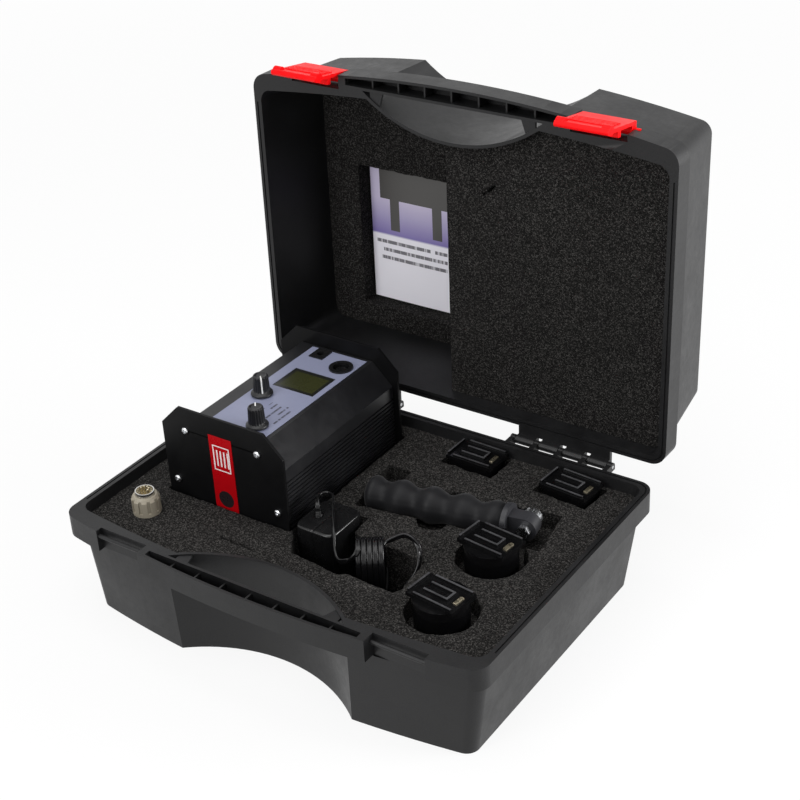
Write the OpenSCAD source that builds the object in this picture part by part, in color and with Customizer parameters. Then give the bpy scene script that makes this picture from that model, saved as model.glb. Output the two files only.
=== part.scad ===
// Stroboscope set: LED stroboscope, handle, power supply, mains adapters and
// trigger plug, stored in the cut foam of a hard carrying case with its lid open.
// Origin: middle of the case's underside. +X right seen from the latches, +Y to the hinges.

/* [Case] */
// Width over the rims
case_w = 370; // [350:5:400]
// Depth from the middle of the handle bar to the back rim
case_d = 268; // [260:2:280]
// Height of the base half
base_h = 85; // [82:1:95]
// Depth of the lid half
lid_h = 87; // [86:1:95]
// Wall thickness of both shells
case_wall = 2.6; // [2:0.1:3]
// Height of the thick band round each rim
band_h = 18; // [16:1:20]
// How far the front bows out between its corners
front_bow = 17; // [14:1:20]
// Corner radius of the rim
corner_r = 13; // [10:1:16]
// How far the side and back walls lean in from rim to floor
draft = 11; // [8:1:12]
// How far the rim band stands out from the side walls
band_out = 4; // [3:0.5:5]
// Angle between the open lid and the closed one
lid_open = 91; // [88:1:100]
// Radius of the hollow behind the carrying bar
waist_r = 124; // [120:1:130]
// Deepest point of the hollow, from the middle of the case
waist_y = -92; // [-94:1:-90]
// Thickness of the carrying bar, front to back
bar_t = 14; // [12:1:16]
// Half length of the open channel along the carrying bar
channel_half = 94; // [90:1:95]

/* [Hinges and latches] */
// Distance of each hinge's middle from the case's middle
hinge_x = 98; // [90:1:110]
// Length of each hinge
hinge_l = 86; // [80:1:90]
// Hinge axis behind the back rim
hinge_out = 11; // [9:0.5:13]
// Hinge axis below the rim plane
hinge_drop = 3; // [2.5:0.5:4]
// Radius of the hinge knuckles
knuckle_r = 3.5; // [3:0.1:4]
// Radius of the hinge pins
hinge_pin_r = 1.4; // [1.2:0.1:1.6]
// Distance of each latch's middle from the case's middle
latch_x = 123; // [118:1:126]
// Width of a latch
latch_w = 42; // [38:1:43]
// Width of the gap in the rim band that a latch sits in
notch_w = 45; // [44:1:48]
// Height of a latch
latch_h = 41; // [38:1:42]
// How far the latches stand away from their closed place
latch_rest = 8; // [6:1:10]

/* [Foam] */
// Depth of the base foam's top below the rim
foam_drop = 9; // [8:1:11]
// Thickness of the foam's bottom layer
foam_floor_t = 20.4; // [19.4:0.2:20.6]
// Depth of the thick lid foam's face below the lid's rim
lid_foam_drop = 10; // [8:1:14]
// Depth of the thin lid foam's face below the lid's rim
lid_pocket_drop = 68.5; // [67.5:0.5:71]

/* [Stroboscope] */
// Length over the end plates
inst_l = 151; // [149:1:152]
// Width of an end plate
plate_w = 116; // [114:1:117]
// Height of an end plate
plate_h = 130; // [126:1:130]
// Thickness of an end plate
plate_t = 2.5; // [2:0.5:3]
// Width of the housing
body_w = 106; // [104:1:108]
// Height of the housing
body_h = 104; // [102:1:106]
// Chamfer of the housing's corners
body_chamfer = 18; // [16:1:19]
// Wall of the housing
body_wall = 3.2; // [3:0.1:3.6]
// Distance between the cooling ribs
rib_pitch = 3.5; // [3:0.25:4]
// Height of the control knobs
knob_h = 17.5; // [15:0.5:18]
// Diameter of a knob's skirt
knob_d = 17.5; // [15:0.5:18]
// Diameter of the control shafts
shaft_d = 6; // [5:0.5:6]

/* [Accessories] */
// Length of the soft grip
grip_l = 114; // [110:1:116]
// Mean diameter of the soft grip
grip_d = 27; // [25:0.5:28]
// Length of the power supply
supply_l = 41; // [38:1:42]
// Width of the power supply
supply_w = 35; // [32:1:35]
// Height of the power supply
supply_h = 60.5; // [58:0.5:61]
// Width of the low-voltage lead
cord_d = 4; // [3.8:0.1:4.2]
// Length of an adapter's rail plate
rail_l = 41; // [39:1:42]
// Width of an adapter's rail plate
rail_w = 27; // [26:1:28]
// Outer diameter of the trigger plug's ring
ring_d = 22; // [20:0.5:23]

/* [Hidden] */
$fn = 48;
slab = 0.02;
gap = 0.3;

// Case outline, measured at the rim and at the floor
half_w = case_w / 2;
rim_front = -case_d / 2;
rim_back = case_d / 2;
wall_top_w = half_w - band_out;
wall_floor_w = wall_top_w - draft;
wall_top_front = rim_front + 9.5;
wall_floor_front = wall_top_front + 2;
wall_top_back = rim_back - band_out;
wall_floor_back = wall_top_back - draft + 3;
bow_top = front_bow - 1.5;
bow_floor = front_bow - 2.2;
inner_front = wall_top_front + 8.5;
inner_floor_front = wall_floor_front + case_wall;
inner_bow = front_bow - 6;
bar_back = rim_front + bar_t;
waist_cy = waist_y - waist_r;
lid_gap = 0.3;
hinge_y = rim_back + hinge_out;
hinge_z = base_h - hinge_drop;
hinge_base_lug = 4;
lid_web_t = 3.6;
hinge_side_gap = 0.5;

// Latches: pivot, catch rod and hook, in the closed lid's place
latch_pivot_y = rim_front + 11.5;
latch_pivot_z = base_h + 13;
latch_pin_r = 1.6;
latch_face_y = latch_pivot_y - 6;
latch_t = 2.8;
latch_barrel_r = 4;
latch_lip_r = 2.4;
latch_lug_r = 3.6;
latch_rib_pitch = 3.2;
latch_rib = [0.9, 1.4];
hook_t = 4;
catch_r = 1.6;
catch_y = latch_pivot_y + 1.5;
catch_z = base_h - 5.5;
hook_bite = 1.5;

// Foam levels
foam_top = base_h - foam_drop;
foam_floor_top = case_wall + foam_floor_t;
foam_fit = 0.3;
pocket_fit = 2;
grip_fit = 2.5;
head_room = 10;
finger_r = 12;
finger_depth = 14;
adapter_fit = 2;
side_cut = [21, 20, 14];
slit_t = 0.8;
slit_depth = 12;
booklet_t = 1.8;
foam_step_x = -11;
lid_window_x0 = -137;
lid_window_x1 = -48;
lid_window_y0 = -26.5;
lid_window_y1 = 101;

// Stroboscope: middle of its footprint and underside of its end plates
inst_x = -88;
inst_y = 36;
inst_z = foam_floor_top + gap;
plate_chamfer = 17.5;
body_l = inst_l - 2 * plate_t;
body_z = (plate_h - body_h) / 2;
body_top = body_z + body_h;
inner_half = body_w / 2 - body_wall;
inner_low = body_z + body_wall;
inner_high = body_top - body_wall;
screw_r = 1.45;
screw_clear_r = 1.6;
screw_head_r = 2.9;
screw_l = 10;
boss_r = 3.4;
screw_spots = [
    [body_w / 2 - body_chamfer - 0.5, body_top - 6],
    [body_w / 2 - 4.4, body_z + body_h / 2 - 1],
    [body_w / 2 - body_chamfer - 0.5, body_z + 6]
];
rib_depth = 1.4;
rib_gap = 1.6;
rib_low = body_z + 14;
rib_high = body_top - body_chamfer - 10;
label_t = 0.4;
label_x0 = -22;
label_x1 = 31.5;
label_y1 = body_l / 2 - 3;
side_label_x = -12;
side_label_w = 22;
side_label_l = 92;
display_x = 7;
display_y = 19.5;
display_w = 39;
display_l = 31;
rate_x = -10;
rate_y = -12;
mode_x = 16.5;
mode_y = -51.5;
jack_x = -8.5;
jack_y = 62;
jack_w = 13;
jack_l = 14;
socket_x = 19.5;
socket_y = 51.5;
socket_r = 9.8;
socket_body_r = 8;
insert_r = 5.5;
insert_l = 9;
handle_thread_r = 3;

// Boards and light source inside the housing
board_t = 1.6;
control_top = inner_high - 9;
control_w = body_w - 40;
control_l = body_l - 12;
control_x = 3;
driver_top = inner_low + 8;
driver_w = body_w - 44;
driver_x = 9;
spacer_r = 3;
control_spacer_x = control_w / 2 - 11;
driver_spacer_x = driver_w / 2 - 13;
spacer_y = control_l / 2 - 4;
window_l = body_l - 30;
window_h = body_h - 54;
window_t = 2;
window_z = body_z + body_h / 2 + 2;
led_pitch = 18;
led_cols = 6;
led_rows = 2;
lens_r = 8;
lens_l = 9;
lens_plate_t = 1.5;
emitter_t = 1.4;
lens_front = -inner_half + window_t + 0.4;
emitter_x = lens_front + lens_l;
led_board_x = emitter_x + emitter_t;
spreader_x = led_board_x + board_t;
spreader_t = 4.5;
spreader_low = body_z + 12;
spreader_web_t = 3.5;
spreader_foot = [8, 2.5];

capacitor_r = 5;
capacitor_h = 20;
capacitor_y = control_l * 0.3;
reservoir_r = 8;
reservoir_h = 26;
coil_r = 12;
coil_h = 9;
connector = [10, 8, 11];

// Control shafts
shaft_r = shaft_d / 2;
shaft_fit = 0.05;
bushing_r = 4.4;
bushing_h = 3.4;
knob_gap = 0.8;
knob_r = knob_d / 2;

// Handle
grip_x = -7;
grip_y = 28;
grip_z = foam_top + 2;
grip_turn = 9.5;
grip_r = grip_d / 2;
grip_swell = 1.9;
flange_r = 14.5;
flange_t = 4;
lug_l = 24;
lug_t = 12;
lug_r = 9;
tilt_u = grip_l + 17;
stud_r = 3;
stud_out = 9;
nut_r = 7.5;
nut_l = 8;

// Power supply and its lead
supply_x = -24;
supply_y = -42;
supply_z = foam_floor_top + gap;
supply_top = supply_z + supply_h;
supply_wall = 2;
relief_x = -15;
relief_y = -22.5;
relief_r = 3.4;
hank_x = 45;
hank_y = -41;
hank_z = foam_floor_top + gap;
hank_turn = 33;
hank_l = 70;
hank_w = 31;
hank_t = 20.5;
tie_t = 1.2;
tie_w = 4;
plug_x = 70;
plug_y = -38;
plug_r = 4.8;
plug_barrel_r = 2.75;
plug_barrel_l = 9;
pit = [
    [-28, -36], [-12, -62], [34, -67], [38, -63], [80, -65], [83, -58], [80, -24],
    [57, -21], [24, -20], [14, -18], [13, 2], [-28, 2]
];

// Trigger plug
din_x = -140;
din_y = -74;
din_shell_r = 7.4;
ring_h = 15.5;
din_bottom = foam_top - 30;
din_top = foam_top + 19;

// Adapters: plate middle, turn, height above the foam, pocket middle
adapter_a = [42, 110.5, -2, 6];
adapter_b = [126, 109.5, -5, 6];
adapter_c = [118, 6, -7, 15];
adapter_d = [121, -65, -7, 15];
rail_t = 3;
ridge_h = 2;
flat_body_h = 19;
round_body_h = 30;
round_body_r = 20;
round_pocket_r = 26.5;
pin_l = 19;
blade_w = 6.3;
blade_t = 1.5;
flat_pitch = 12.7;
slant_pitch = 13.8;
round_pitch = 19;
round_pin_r = 2;
square_pitch = 22;
square_t = 4;
earth_w = 8;
earth_y = 9;
live_y = -8;

// Lead from the strain relief to the hank, and from the hank to its plug
lead_route = [
    [-15, -22.5, 88], [-15, -22.5, 89], [-15.5, -22, 91], [-17, -20, 92.5], [-19, -17.5, 93],
    [-20.5, -14.5, 93], [-21, -11.5, 93], [-20, -8.5, 93], [-17.5, -6.5, 93], [-14.5, -6.5, 93],
    [-12, -7.5, 93], [-10, -9.5, 93], [-7, -13.5, 92.5], [-3.5, -18.5, 92], [0, -23.5, 91.5],
    [3.5, -28.5, 91], [7, -33, 90], [10.5, -37.5, 88.5], [13.5, -41.5, 85.5], [16, -45, 81.5],
    [18.5, -48, 78], [21.5, -50.5, 75.5], [25, -52, 75], [29, -53, 76.5], [33, -54, 79],
    [37, -55, 82], [41, -55.5, 84.5], [44, -55.5, 86]
];
tail_route = [
    [51.5, -33.5, 89], [52.5, -31, 88.5], [55, -28, 89.5], [58.5, -24.5, 91], [62, -22, 92],
    [66, -21, 91.5], [70, -21, 89.5], [73.5, -22, 86.5], [76, -24, 83], [77.5, -26.5, 79],
    [78, -29.5, 74.5], [77, -32.5, 70], [75, -35, 66], [72.5, -37, 62], [70.5, -38, 58],
    [70, -38, 54]
];
relief_h = lead_route[0][2] - supply_top;
plug_z = foam_floor_top + gap;
plug_l = tail_route[len(tail_route) - 1][2] - plug_barrel_l - plug_z;

// Outline in plan with a bowed front: half width, front, back, bow, corner radius
function bowed_front(hw, yf, bow, n = 24) =
    [for (i = [0 : n]) let (x = -hw + 2 * hw * i / n) [x, yf + bow * pow(x / hw, 2)]];

module plan(hw, yf, yb, bow, r) {
    offset(r = r) offset(delta = -r)
        polygon(concat(bowed_front(hw, yf, bow), [[hw, yb], [-hw, yb]]));
}

// Solid that tapers from an outline at z0 to another at z1
module tapered(z0, z1) {
    hull() {
        translate([0, 0, z0]) linear_extrude(slab) children(0);
        translate([0, 0, z1 - slab]) linear_extrude(slab) children(1);
    }
}

// Outer body of one half, standing on its floor face
module half_body(h) {
    tapered(0, h) {
        plan(wall_floor_w, wall_floor_front, wall_floor_back, bow_floor, corner_r - 3);
        plan(wall_top_w, wall_top_front, wall_top_back, bow_top, corner_r - 1);
    }
}

// Space inside one half, less an even clearance all round
module half_cavity(h, clear = 0) {
    w = case_wall + clear;
    difference() {
        tapered(w, h + 1) {
            plan(wall_floor_w - w, inner_floor_front + clear, wall_floor_back - w,
                bow_floor, corner_r - 4);
            plan(wall_top_w - w, inner_front + clear, wall_top_back - w,
                inner_bow, corner_r - 3);
        }
        translate([0, waist_cy, -1]) cylinder(r = waist_r + w, h = h + 4, $fn = 120);
    }
}

// Channel, finger gap and latch gaps cut into a half's front, seen from its floor up
module half_front_cuts(h) {
    translate([0, waist_cy, -1])
        cylinder(r = waist_r, h = h - band_h + 1, $fn = 120);
    intersection() {
        translate([0, waist_cy, h - band_h - 1]) cylinder(r = waist_r, h = band_h + 2, $fn = 120);
        translate([-half_w, bar_back, 0]) cube([case_w, case_d, h + 1]);
    }
    difference() {
        translate([-channel_half, rim_front - 1, h - band_h + 3])
            cube([2 * channel_half, bar_t - 1.2, band_h]);
        translate([0, 0, h - band_h]) linear_extrude(band_h + 1) difference() {
            plan(half_w, rim_front, rim_back, front_bow, corner_r);
            translate([0, 2.2]) plan(half_w, rim_front, rim_back, front_bow, corner_r);
        }
        for (i = [-4 : 4]) translate([i * 23.5 - 0.7, rim_front, h - band_h])
            cube([1.4, bar_t, band_h - 3]);
    }
    for (s = [-1, 1]) translate([s * latch_x - notch_w / 2, rim_front - 1, h - band_h - 1])
        cube([notch_w, latch_pivot_y + 4.6 - rim_front + 1, band_h + 2]);
}

// Hollow's edge behind the bar at a distance x from the middle
function arc_y(x) = waist_cy + sqrt(waist_r * waist_r - x * x);

// One half without its hinges and latch parts
module half_shell(h) {
    difference() {
        union() {
            half_body(h);
            translate([0, 0, h - band_h]) linear_extrude(band_h)
                plan(half_w, rim_front, rim_back, front_bow, corner_r);
        }
        half_cavity(h);
        half_front_cuts(h);
        // groove that runs round the rim face
        translate([0, 0, h - 1.2]) linear_extrude(2) difference() {
            plan(half_w - 2.4, rim_front + 0.4, rim_back - 2.4, front_bow, corner_r - 2);
            plan(half_w - 3.6, rim_front + 1.6, rim_back - 3.6, front_bow, corner_r - 3);
            translate([-half_w, rim_front - 1]) square([case_w, 40]);
        }
    }
    // small triangular webs at both ends of the finger gap
    for (s = [0, 1]) mirror([s, 0, 0]) translate([0, 0, h - 3]) linear_extrude(2)
        polygon([
            [72, bar_back - 0.5], [60, bar_back - 0.5],
            [64, arc_y(64) + 0.8], [72, arc_y(72) + 0.8]
        ]);
}

// Web and knuckle of a hinge, seen along X: the web reaches from z0 to z1
module hinge_profile(z0, z1) {
    difference() {
        union() {
            circle(r = knuckle_r);
            translate([-hinge_out - 2.5, z0]) square([hinge_out + 2.5, z1 - z0]);
            translate([-knuckle_r, min(0, z0)]) square([2 * knuckle_r, max(abs(z0), abs(z1))]);
        }
        circle(r = hinge_pin_r + 0.06);
    }
}

module along_x(x0, x1) {
    translate([x0, 0, 0]) rotate([90, 0, 90]) linear_extrude(x1 - x0) children();
}

hinge_cell = hinge_l / 4;

module base_knuckles() {
    for (s = [-1, 1], i = [0 : 4])
        translate([s * hinge_x - hinge_l / 2 + i * hinge_cell, hinge_y, hinge_z])
            along_x(-hinge_base_lug / 2, hinge_base_lug / 2)
                hinge_profile(-knuckle_r, hinge_drop - 0.4);
}

module lid_knuckles() {
    for (s = [-1, 1], i = [0 : 3])
        translate([s * hinge_x - hinge_l / 2 + i * hinge_cell, hinge_y, hinge_z])
            along_x(hinge_base_lug / 2 + hinge_side_gap,
                hinge_cell - hinge_base_lug / 2 - hinge_side_gap)
                hinge_profile(hinge_drop + lid_gap, hinge_drop + lid_gap + lid_web_t);
    // strip that joins the webs past the base knuckles
    for (s = [-1, 1]) translate([s * hinge_x, hinge_y, hinge_z])
        along_x(-hinge_l / 2 + hinge_base_lug, hinge_l / 2 - hinge_base_lug)
            translate([-hinge_out - 2.5, hinge_drop + lid_gap])
                square([hinge_out + 2.5 - knuckle_r - 2 * lid_gap, lid_web_t]);
}

module case_base() {
    color("#26282a") {
        half_shell(base_h);
        base_knuckles();
        // rod across each latch gap that the latch hooks under
        for (s = [-1, 1]) translate([s * latch_x - notch_w / 2 - 1, catch_y, catch_z])
            rotate([0, 90, 0]) cylinder(r = catch_r, h = notch_w + 2);
    }
}

module hinge_pins() {
    color("#b9bcc0") for (s = [-1, 1])
        translate([s * hinge_x - hinge_l / 2 - hinge_base_lug / 2, hinge_y, hinge_z])
            rotate([0, 90, 0]) cylinder(r = hinge_pin_r, h = hinge_l + hinge_base_lug);
}

// Turns a part of the closed lid to the open lid's place
module lid_pose() {
    translate([0, hinge_y, hinge_z]) rotate([-lid_open, 0, 0])
        translate([0, -hinge_y, -hinge_z]) children();
}

// A half shell turned over so that its rim faces down on the base
module lid_side(h = lid_h) {
    translate([0, 0, base_h + lid_gap + h]) mirror([0, 0, 1]) children();
}

module case_lid() {
    color("#26282a") lid_pose() difference() {
        union() {
            lid_side() half_shell(lid_h);
            lid_knuckles();
        }
        for (s = [-1, 1]) translate([s * latch_x - notch_w / 2 - 4, latch_pivot_y, latch_pivot_z])
            rotate([0, 90, 0]) cylinder(r = latch_pin_r + 0.06, h = notch_w + 8);
    }
}

// One latch: ribbed plate, pivot barrel with end pins, and hook
module latch_shape() {
    tip_y = catch_y - catch_r + hook_bite;
    low_z = latch_pivot_z + 3 - latch_h;
    // front plate with a rounded finger lip at its lower end
    along_x(-latch_w / 2, latch_w / 2) {
        translate([latch_face_y, low_z]) square([latch_t, latch_h]);
        translate([latch_pivot_y, latch_pivot_z]) circle(r = latch_barrel_r);
        translate([latch_face_y + 1, latch_pivot_z - 3]) square([5, 6]);
        translate([latch_face_y, catch_z - catch_r - hook_t - 0.4])
            square([tip_y - latch_face_y, hook_t]);
        translate([latch_face_y + latch_t / 2, low_z]) circle(r = latch_lip_r);
    }
    for (i = [0 : 4]) along_x(-latch_w / 2 + 4, latch_w / 2 - 4)
        translate([latch_face_y - latch_rib[0] + 0.2, low_z + 10 + i * latch_rib_pitch])
            square(latch_rib);
    // thick rounded lugs at both lower corners
    for (s = [-1, 1]) translate([s * (latch_w / 2 - 3.2), 0, 0]) along_x(-3.2, 3.2)
        translate([latch_face_y + 0.6, low_z + 3]) circle(r = latch_lug_r);
    translate([-notch_w / 2 - 3.4, latch_pivot_y, latch_pivot_z]) rotate([0, 90, 0])
        cylinder(r = latch_pin_r, h = notch_w + 6.8);
}

module latch_at(s) {
    color("#e0202c") lid_pose()
        translate([s * latch_x, latch_pivot_y, latch_pivot_z]) rotate([-latch_rest, 0, 0])
            translate([0, -latch_pivot_y, -latch_pivot_z]) latch_shape();
}

module latch_left() { latch_at(-1); }
module latch_right() { latch_at(1); }

// Foam that fills a half between two heights above its floor
module foam_block(h, z0, z1, x0 = -half_w, x1 = half_w) {
    intersection() {
        half_cavity(h, foam_fit);
        translate([x0, rim_front, z0]) cube([x1 - x0, case_d, z1 - z0]);
    }
}

module base_foam() {
    color("#3b3c3d") difference() {
        foam_block(base_h, foam_floor_top, foam_top);
        // stroboscope and supply pits go down to the bottom layer
        translate([inst_x - plate_w / 2 - pocket_fit, inst_y - inst_l / 2 - pocket_fit, 0])
            cube([plate_w + 2 * pocket_fit, inst_l + 2 * pocket_fit, base_h]);
        linear_extrude(base_h) polygon(pit);
        grip_frame() {
            translate([-grip_fit, 0, 0]) rotate([0, 90, 0])
                cylinder(r = grip_r + grip_fit, h = grip_l + 4 * grip_fit);
            translate([grip_l, -nut_l - lug_t / 2 - head_room, -flange_r - 2])
                cube([lug_l + 12, lug_t + 2 * (nut_l + head_room), 3 * flange_r]);
            // finger cuts beside the grip
            translate([grip_l * 0.59, grip_r + 1, -finger_depth]) cylinder(r = finger_r, h = base_h);
            translate([grip_l * 0.54, -grip_r - 1.5, -finger_depth]) cylinder(r = finger_r, h = base_h);
        }
        // open space between the grip's rear end and the stroboscope
        translate([grip_x - 8, grip_y + 24, foam_top - side_cut[2]])
            cube([side_cut[0], side_cut[1], side_cut[2] + 6]);
        for (a = [adapter_a, adapter_b]) adapter_frame(a) {
            translate([-rail_l / 2 - 2 * adapter_fit, -rail_w / 2 - adapter_fit, -flat_body_h - gap])
                cube([rail_l + 3 * adapter_fit, rail_w + 2 * adapter_fit, base_h]);
            translate([-rail_l / 2 + 4, -rail_w / 2 + 3, -flat_body_h - pin_l - 2 * adapter_fit])
                cube([rail_l - 8, rail_w - 6, base_h]);
        }
        for (a = [adapter_c, adapter_d]) adapter_frame(a) {
            translate([0, 0, -round_body_h - gap])
                cylinder(r = round_pocket_r, h = base_h, $fn = 64);
            translate([-15, -14, -round_body_h - pin_l - 2 * adapter_fit]) cube([30, 28, base_h]);
        }
        translate([din_x, din_y, din_bottom - gap]) cylinder(r = din_shell_r + 1, h = base_h);
        // short knife slit in front of the stroboscope
        translate([-70, -72.8, foam_top - slit_depth]) rotate([0, 0, -1.5])
            cube([34, slit_t, base_h]);
    }
}

module base_foam_floor() {
    color("#333435") foam_block(base_h, case_wall + foam_fit, foam_floor_top);
}

module lid_foam_right() {
    color("#3b3c3d") lid_pose() lid_side() difference() {
        foam_block(lid_h, case_wall + foam_fit, lid_h - lid_foam_drop, foam_step_x, half_w);
        // short slit near the top of the open lid
        translate([foam_step_x + 32, waist_y + 42, lid_h - lid_foam_drop - slit_depth])
            rotate([0, 0, -42]) cube([15, 2 * slit_t, base_h]);
    }
}

module lid_foam_left() {
    color("#3b3c3d") lid_pose() lid_side() difference() {
        foam_block(lid_h, case_wall + foam_fit, lid_h - lid_pocket_drop, -half_w,
            foam_step_x - gap);
        translate([lid_window_x0, lid_window_y0, 0])
            cube([lid_window_x1 - lid_window_x0, lid_window_y1 - lid_window_y0, lid_h]);
    }
}

module booklet() {
    color("#d9d8e4") lid_pose() lid_side()
        translate([lid_window_x0 + 2, lid_window_y0 + 3, case_wall + gap])
            cube([lid_window_x1 - lid_window_x0 - 4, lid_window_y1 - lid_window_y0 - 5, booklet_t]);
}

// The stroboscope's own frame: middle of its footprint, underside of its end plates
module inst_frame() {
    translate([inst_x, inst_y, inst_z]) children();
}

// Runs an outline seen from the front along Y
module along_y(y0, y1) {
    translate([0, y1, 0]) rotate([90, 0, 0]) linear_extrude(y1 - y0) children();
}

function chamfered(hw, z0, z1, c) = [
    [-hw + c, z0], [hw - c, z0], [hw, z0 + c], [hw, z1 - c],
    [hw - c, z1], [-hw + c, z1], [-hw, z1 - c], [-hw, z0 + c]
];

// Middle of each control's place, with x and y mirrored spots of the plate screws
module at_screws() {
    for (s = [-1, 1], p = screw_spots) translate([s * p[0], 0, p[1]]) children();
}

module housing_section() {
    difference() {
        polygon(chamfered(body_w / 2, body_z, body_top, body_chamfer));
        polygon(chamfered(inner_half, inner_low, inner_high, body_chamfer - 1.3));
        for (s = [-1, 1], z = [rib_low : rib_pitch : rib_high])
            translate([s * body_w / 2 - rib_depth, z]) square([2 * rib_depth, rib_gap]);
    }
    // screw channels in the corners and sides
    for (s = [-1, 1], p = screw_spots) translate([s * p[0], p[1]])
        intersection() {
            circle(r = boss_r);
            translate([-s * p[0], -p[1]])
                polygon(chamfered(body_w / 2 - rib_depth, body_z, body_top, body_chamfer));
        }
}

module housing() {
    color("#222324") inst_frame() difference() {
        along_y(-body_l / 2, body_l / 2) housing_section();
        for (s = [-1, 1]) at_screws() translate([0, s * (body_l / 2 - screw_l - 1), 0])
            rotate([90, 0, 0]) translate([0, 0, -screw_l - 2])
                cylinder(r = screw_r, h = 2 * screw_l + 4);
        // opening of the light source in the left wall
        translate([-body_w / 2 - 1, -window_l / 2, window_z - window_h / 2])
            cube([body_wall + 6, window_l, window_h]);
        translate([-inner_half, -window_l / 2 - 4.2, window_z - window_h / 2 - 4.2])
            cube([6, window_l + 8.4, window_h + 8.4]);
        for (p = [[rate_x, rate_y], [mode_x, mode_y]])
            translate([p[0], p[1], body_top - 10]) cylinder(r = bushing_r + 0.05, h = 20);
        translate([socket_x, socket_y, body_top - 10]) cylinder(r = socket_body_r + 0.05, h = 20);
        translate([jack_x - jack_w / 2 - 0.2, jack_y - jack_l / 2 - 0.2, body_top - 10])
            cube([jack_w + 0.4, jack_l + 0.4, 20]);
        translate([display_x - display_w / 2 - 0.2, display_y - display_l / 2 - 0.2, body_top - 10])
            cube([display_w + 0.4, display_l + 0.4, 20]);
        translate([0, 0, body_z - 1]) cylinder(r = insert_r, h = body_wall + 2);
    }
}

module end_plate(y0) {
    color("#1d1e1f") inst_frame() difference() {
        along_y(y0, y0 + plate_t)
            polygon(chamfered(plate_w / 2, 0, plate_h, plate_chamfer));
        at_screws() translate([0, y0 - 1, 0]) rotate([-90, 0, 0])
            cylinder(r = screw_clear_r, h = plate_t + 2);
    }
}

module end_plate_left() { end_plate(-inst_l / 2); }
module end_plate_right() { end_plate(inst_l / 2 - plate_t); }

// Button-head screws with a hexagon recess, pointing in from both end plates
module end_plate_screws() {
    color("#c9ccd0") inst_frame() for (s = [0, 1]) mirror([0, s, 0]) at_screws()
        translate([0, -inst_l / 2, 0]) rotate([-90, 0, 0]) difference() {
            union() {
                cylinder(r = screw_r, h = screw_l);
                translate([0, 0, -1]) cylinder(r = screw_head_r, h = 1);
                translate([0, 0, -1.7]) cylinder(r1 = 1.9, r2 = screw_head_r, h = 0.7);
            }
            translate([0, 0, -2]) cylinder(r = 1.2, h = 1.3, $fn = 6);
        }
}

module side_label() {
    color("#b3202e") inst_frame()
        translate([side_label_x, -inst_l / 2 - label_t, body_top - 2 - side_label_l])
            cube([side_label_w, label_t, side_label_l]);
}

module panel_label() {
    color("#9aa0b4") inst_frame() difference() {
        translate([label_x0, -body_l / 2 + 2, body_top])
            cube([label_x1 - label_x0, label_y1 + body_l / 2 - 2, label_t]);
        for (p = [[rate_x, rate_y], [mode_x, mode_y]])
            translate([p[0], p[1], body_top - 1]) cylinder(r = bushing_r + 0.3, h = 3);
        translate([socket_x, socket_y, body_top - 1]) cylinder(r = socket_body_r + 0.3, h = 3);
        translate([jack_x - jack_w / 2 - 0.3, jack_y - jack_l / 2 - 0.3, body_top - 1])
            cube([jack_w + 0.6, jack_l + 0.6, 3]);
        translate([display_x - display_w / 2, display_y - display_l / 2, body_top - 1])
            cube([display_w, display_l, 3]);
    }
}

module display_window() {
    color("#6f7350") inst_frame()
        translate([display_x - display_w / 2, display_y - display_l / 2, body_top - 1.2])
            cube([display_w, display_l, 1.2]);
}

module display_module() {
    color("#2e3a2c") inst_frame() {
        translate([display_x - display_w / 2 + 1, display_y - display_l / 2 + 1, control_top + 4])
            cube([display_w - 2, display_l - 2, body_top - 1.2 - control_top - 4]);
        translate([display_x - display_w / 2 + 3, display_y - display_l / 2 + 2, control_top])
            cube([display_w - 6, 4, 4]);
        translate([display_x - display_w / 2 + 3, display_y + display_l / 2 - 6, control_top])
            cube([display_w - 6, 4, 4]);
    }
}

// Body, threaded bushing and nut of a rotary control
module control_body(x, y) {
    translate([x, y, 0]) difference() {
        union() {
            translate([-6.5, -6.5, control_top]) cube([13, 13, inner_high - control_top]);
            translate([0, 0, inner_high - 1]) cylinder(r = bushing_r, h = body_wall + 1 + bushing_h);
        }
        translate([0, 0, control_top + 2]) cylinder(r = shaft_r + shaft_fit, h = 30);
    }
}

// Control shaft, from its bearing up into the knob
module control_shaft(x, y) {
    translate([x, y, control_top + 2.2])
        cylinder(r = shaft_r, h = body_top + label_t + knob_h - 4 - control_top - 2.2);
}

// Skirted knob with a tapered fluted body and a raised pointer line
module knob(x, y, turn) {
    z0 = body_top + label_t + knob_gap;
    translate([x, y, z0]) rotate([0, 0, turn]) difference() {
        union() {
            cylinder(r = knob_r, h = 1.6);
            translate([0, 0, 1.6]) cylinder(r1 = knob_r, r2 = knob_r - 1.6, h = 1.4);
            cylinder(r1 = knob_r - 1.9, r2 = knob_r - 2.9, h = knob_h - knob_gap);
            for (i = [0 : 11]) rotate([0, 0, i * 30]) translate([knob_r - 3.2, -0.7, 3])
                cube([1, 1.4, knob_h - knob_gap - 4.5]);
            translate([-0.6, 0, knob_h - knob_gap - 0.1]) cube([1.2, knob_r - 3.2, 0.4]);
        }
        translate([0, 0, -1]) cylinder(r = shaft_r + shaft_fit, h = knob_h - knob_gap - 3);
        translate([0, 0, -1]) cylinder(r = bushing_r + 0.6, h = bushing_h + 0.8);
    }
}

module rate_encoder() {
    color("#5d6062") inst_frame() control_body(rate_x, rate_y);
}

module mode_switch() {
    color("#5d6062") inst_frame() control_body(mode_x, mode_y);
}

module rate_shaft() {
    color("#b9bcc0") inst_frame() control_shaft(rate_x, rate_y);
}

module mode_shaft() {
    color("#b9bcc0") inst_frame() control_shaft(mode_x, mode_y);
}

module rate_knob() {
    color("#2a2b2d") inst_frame() knob(rate_x, rate_y, -100);
}

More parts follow.
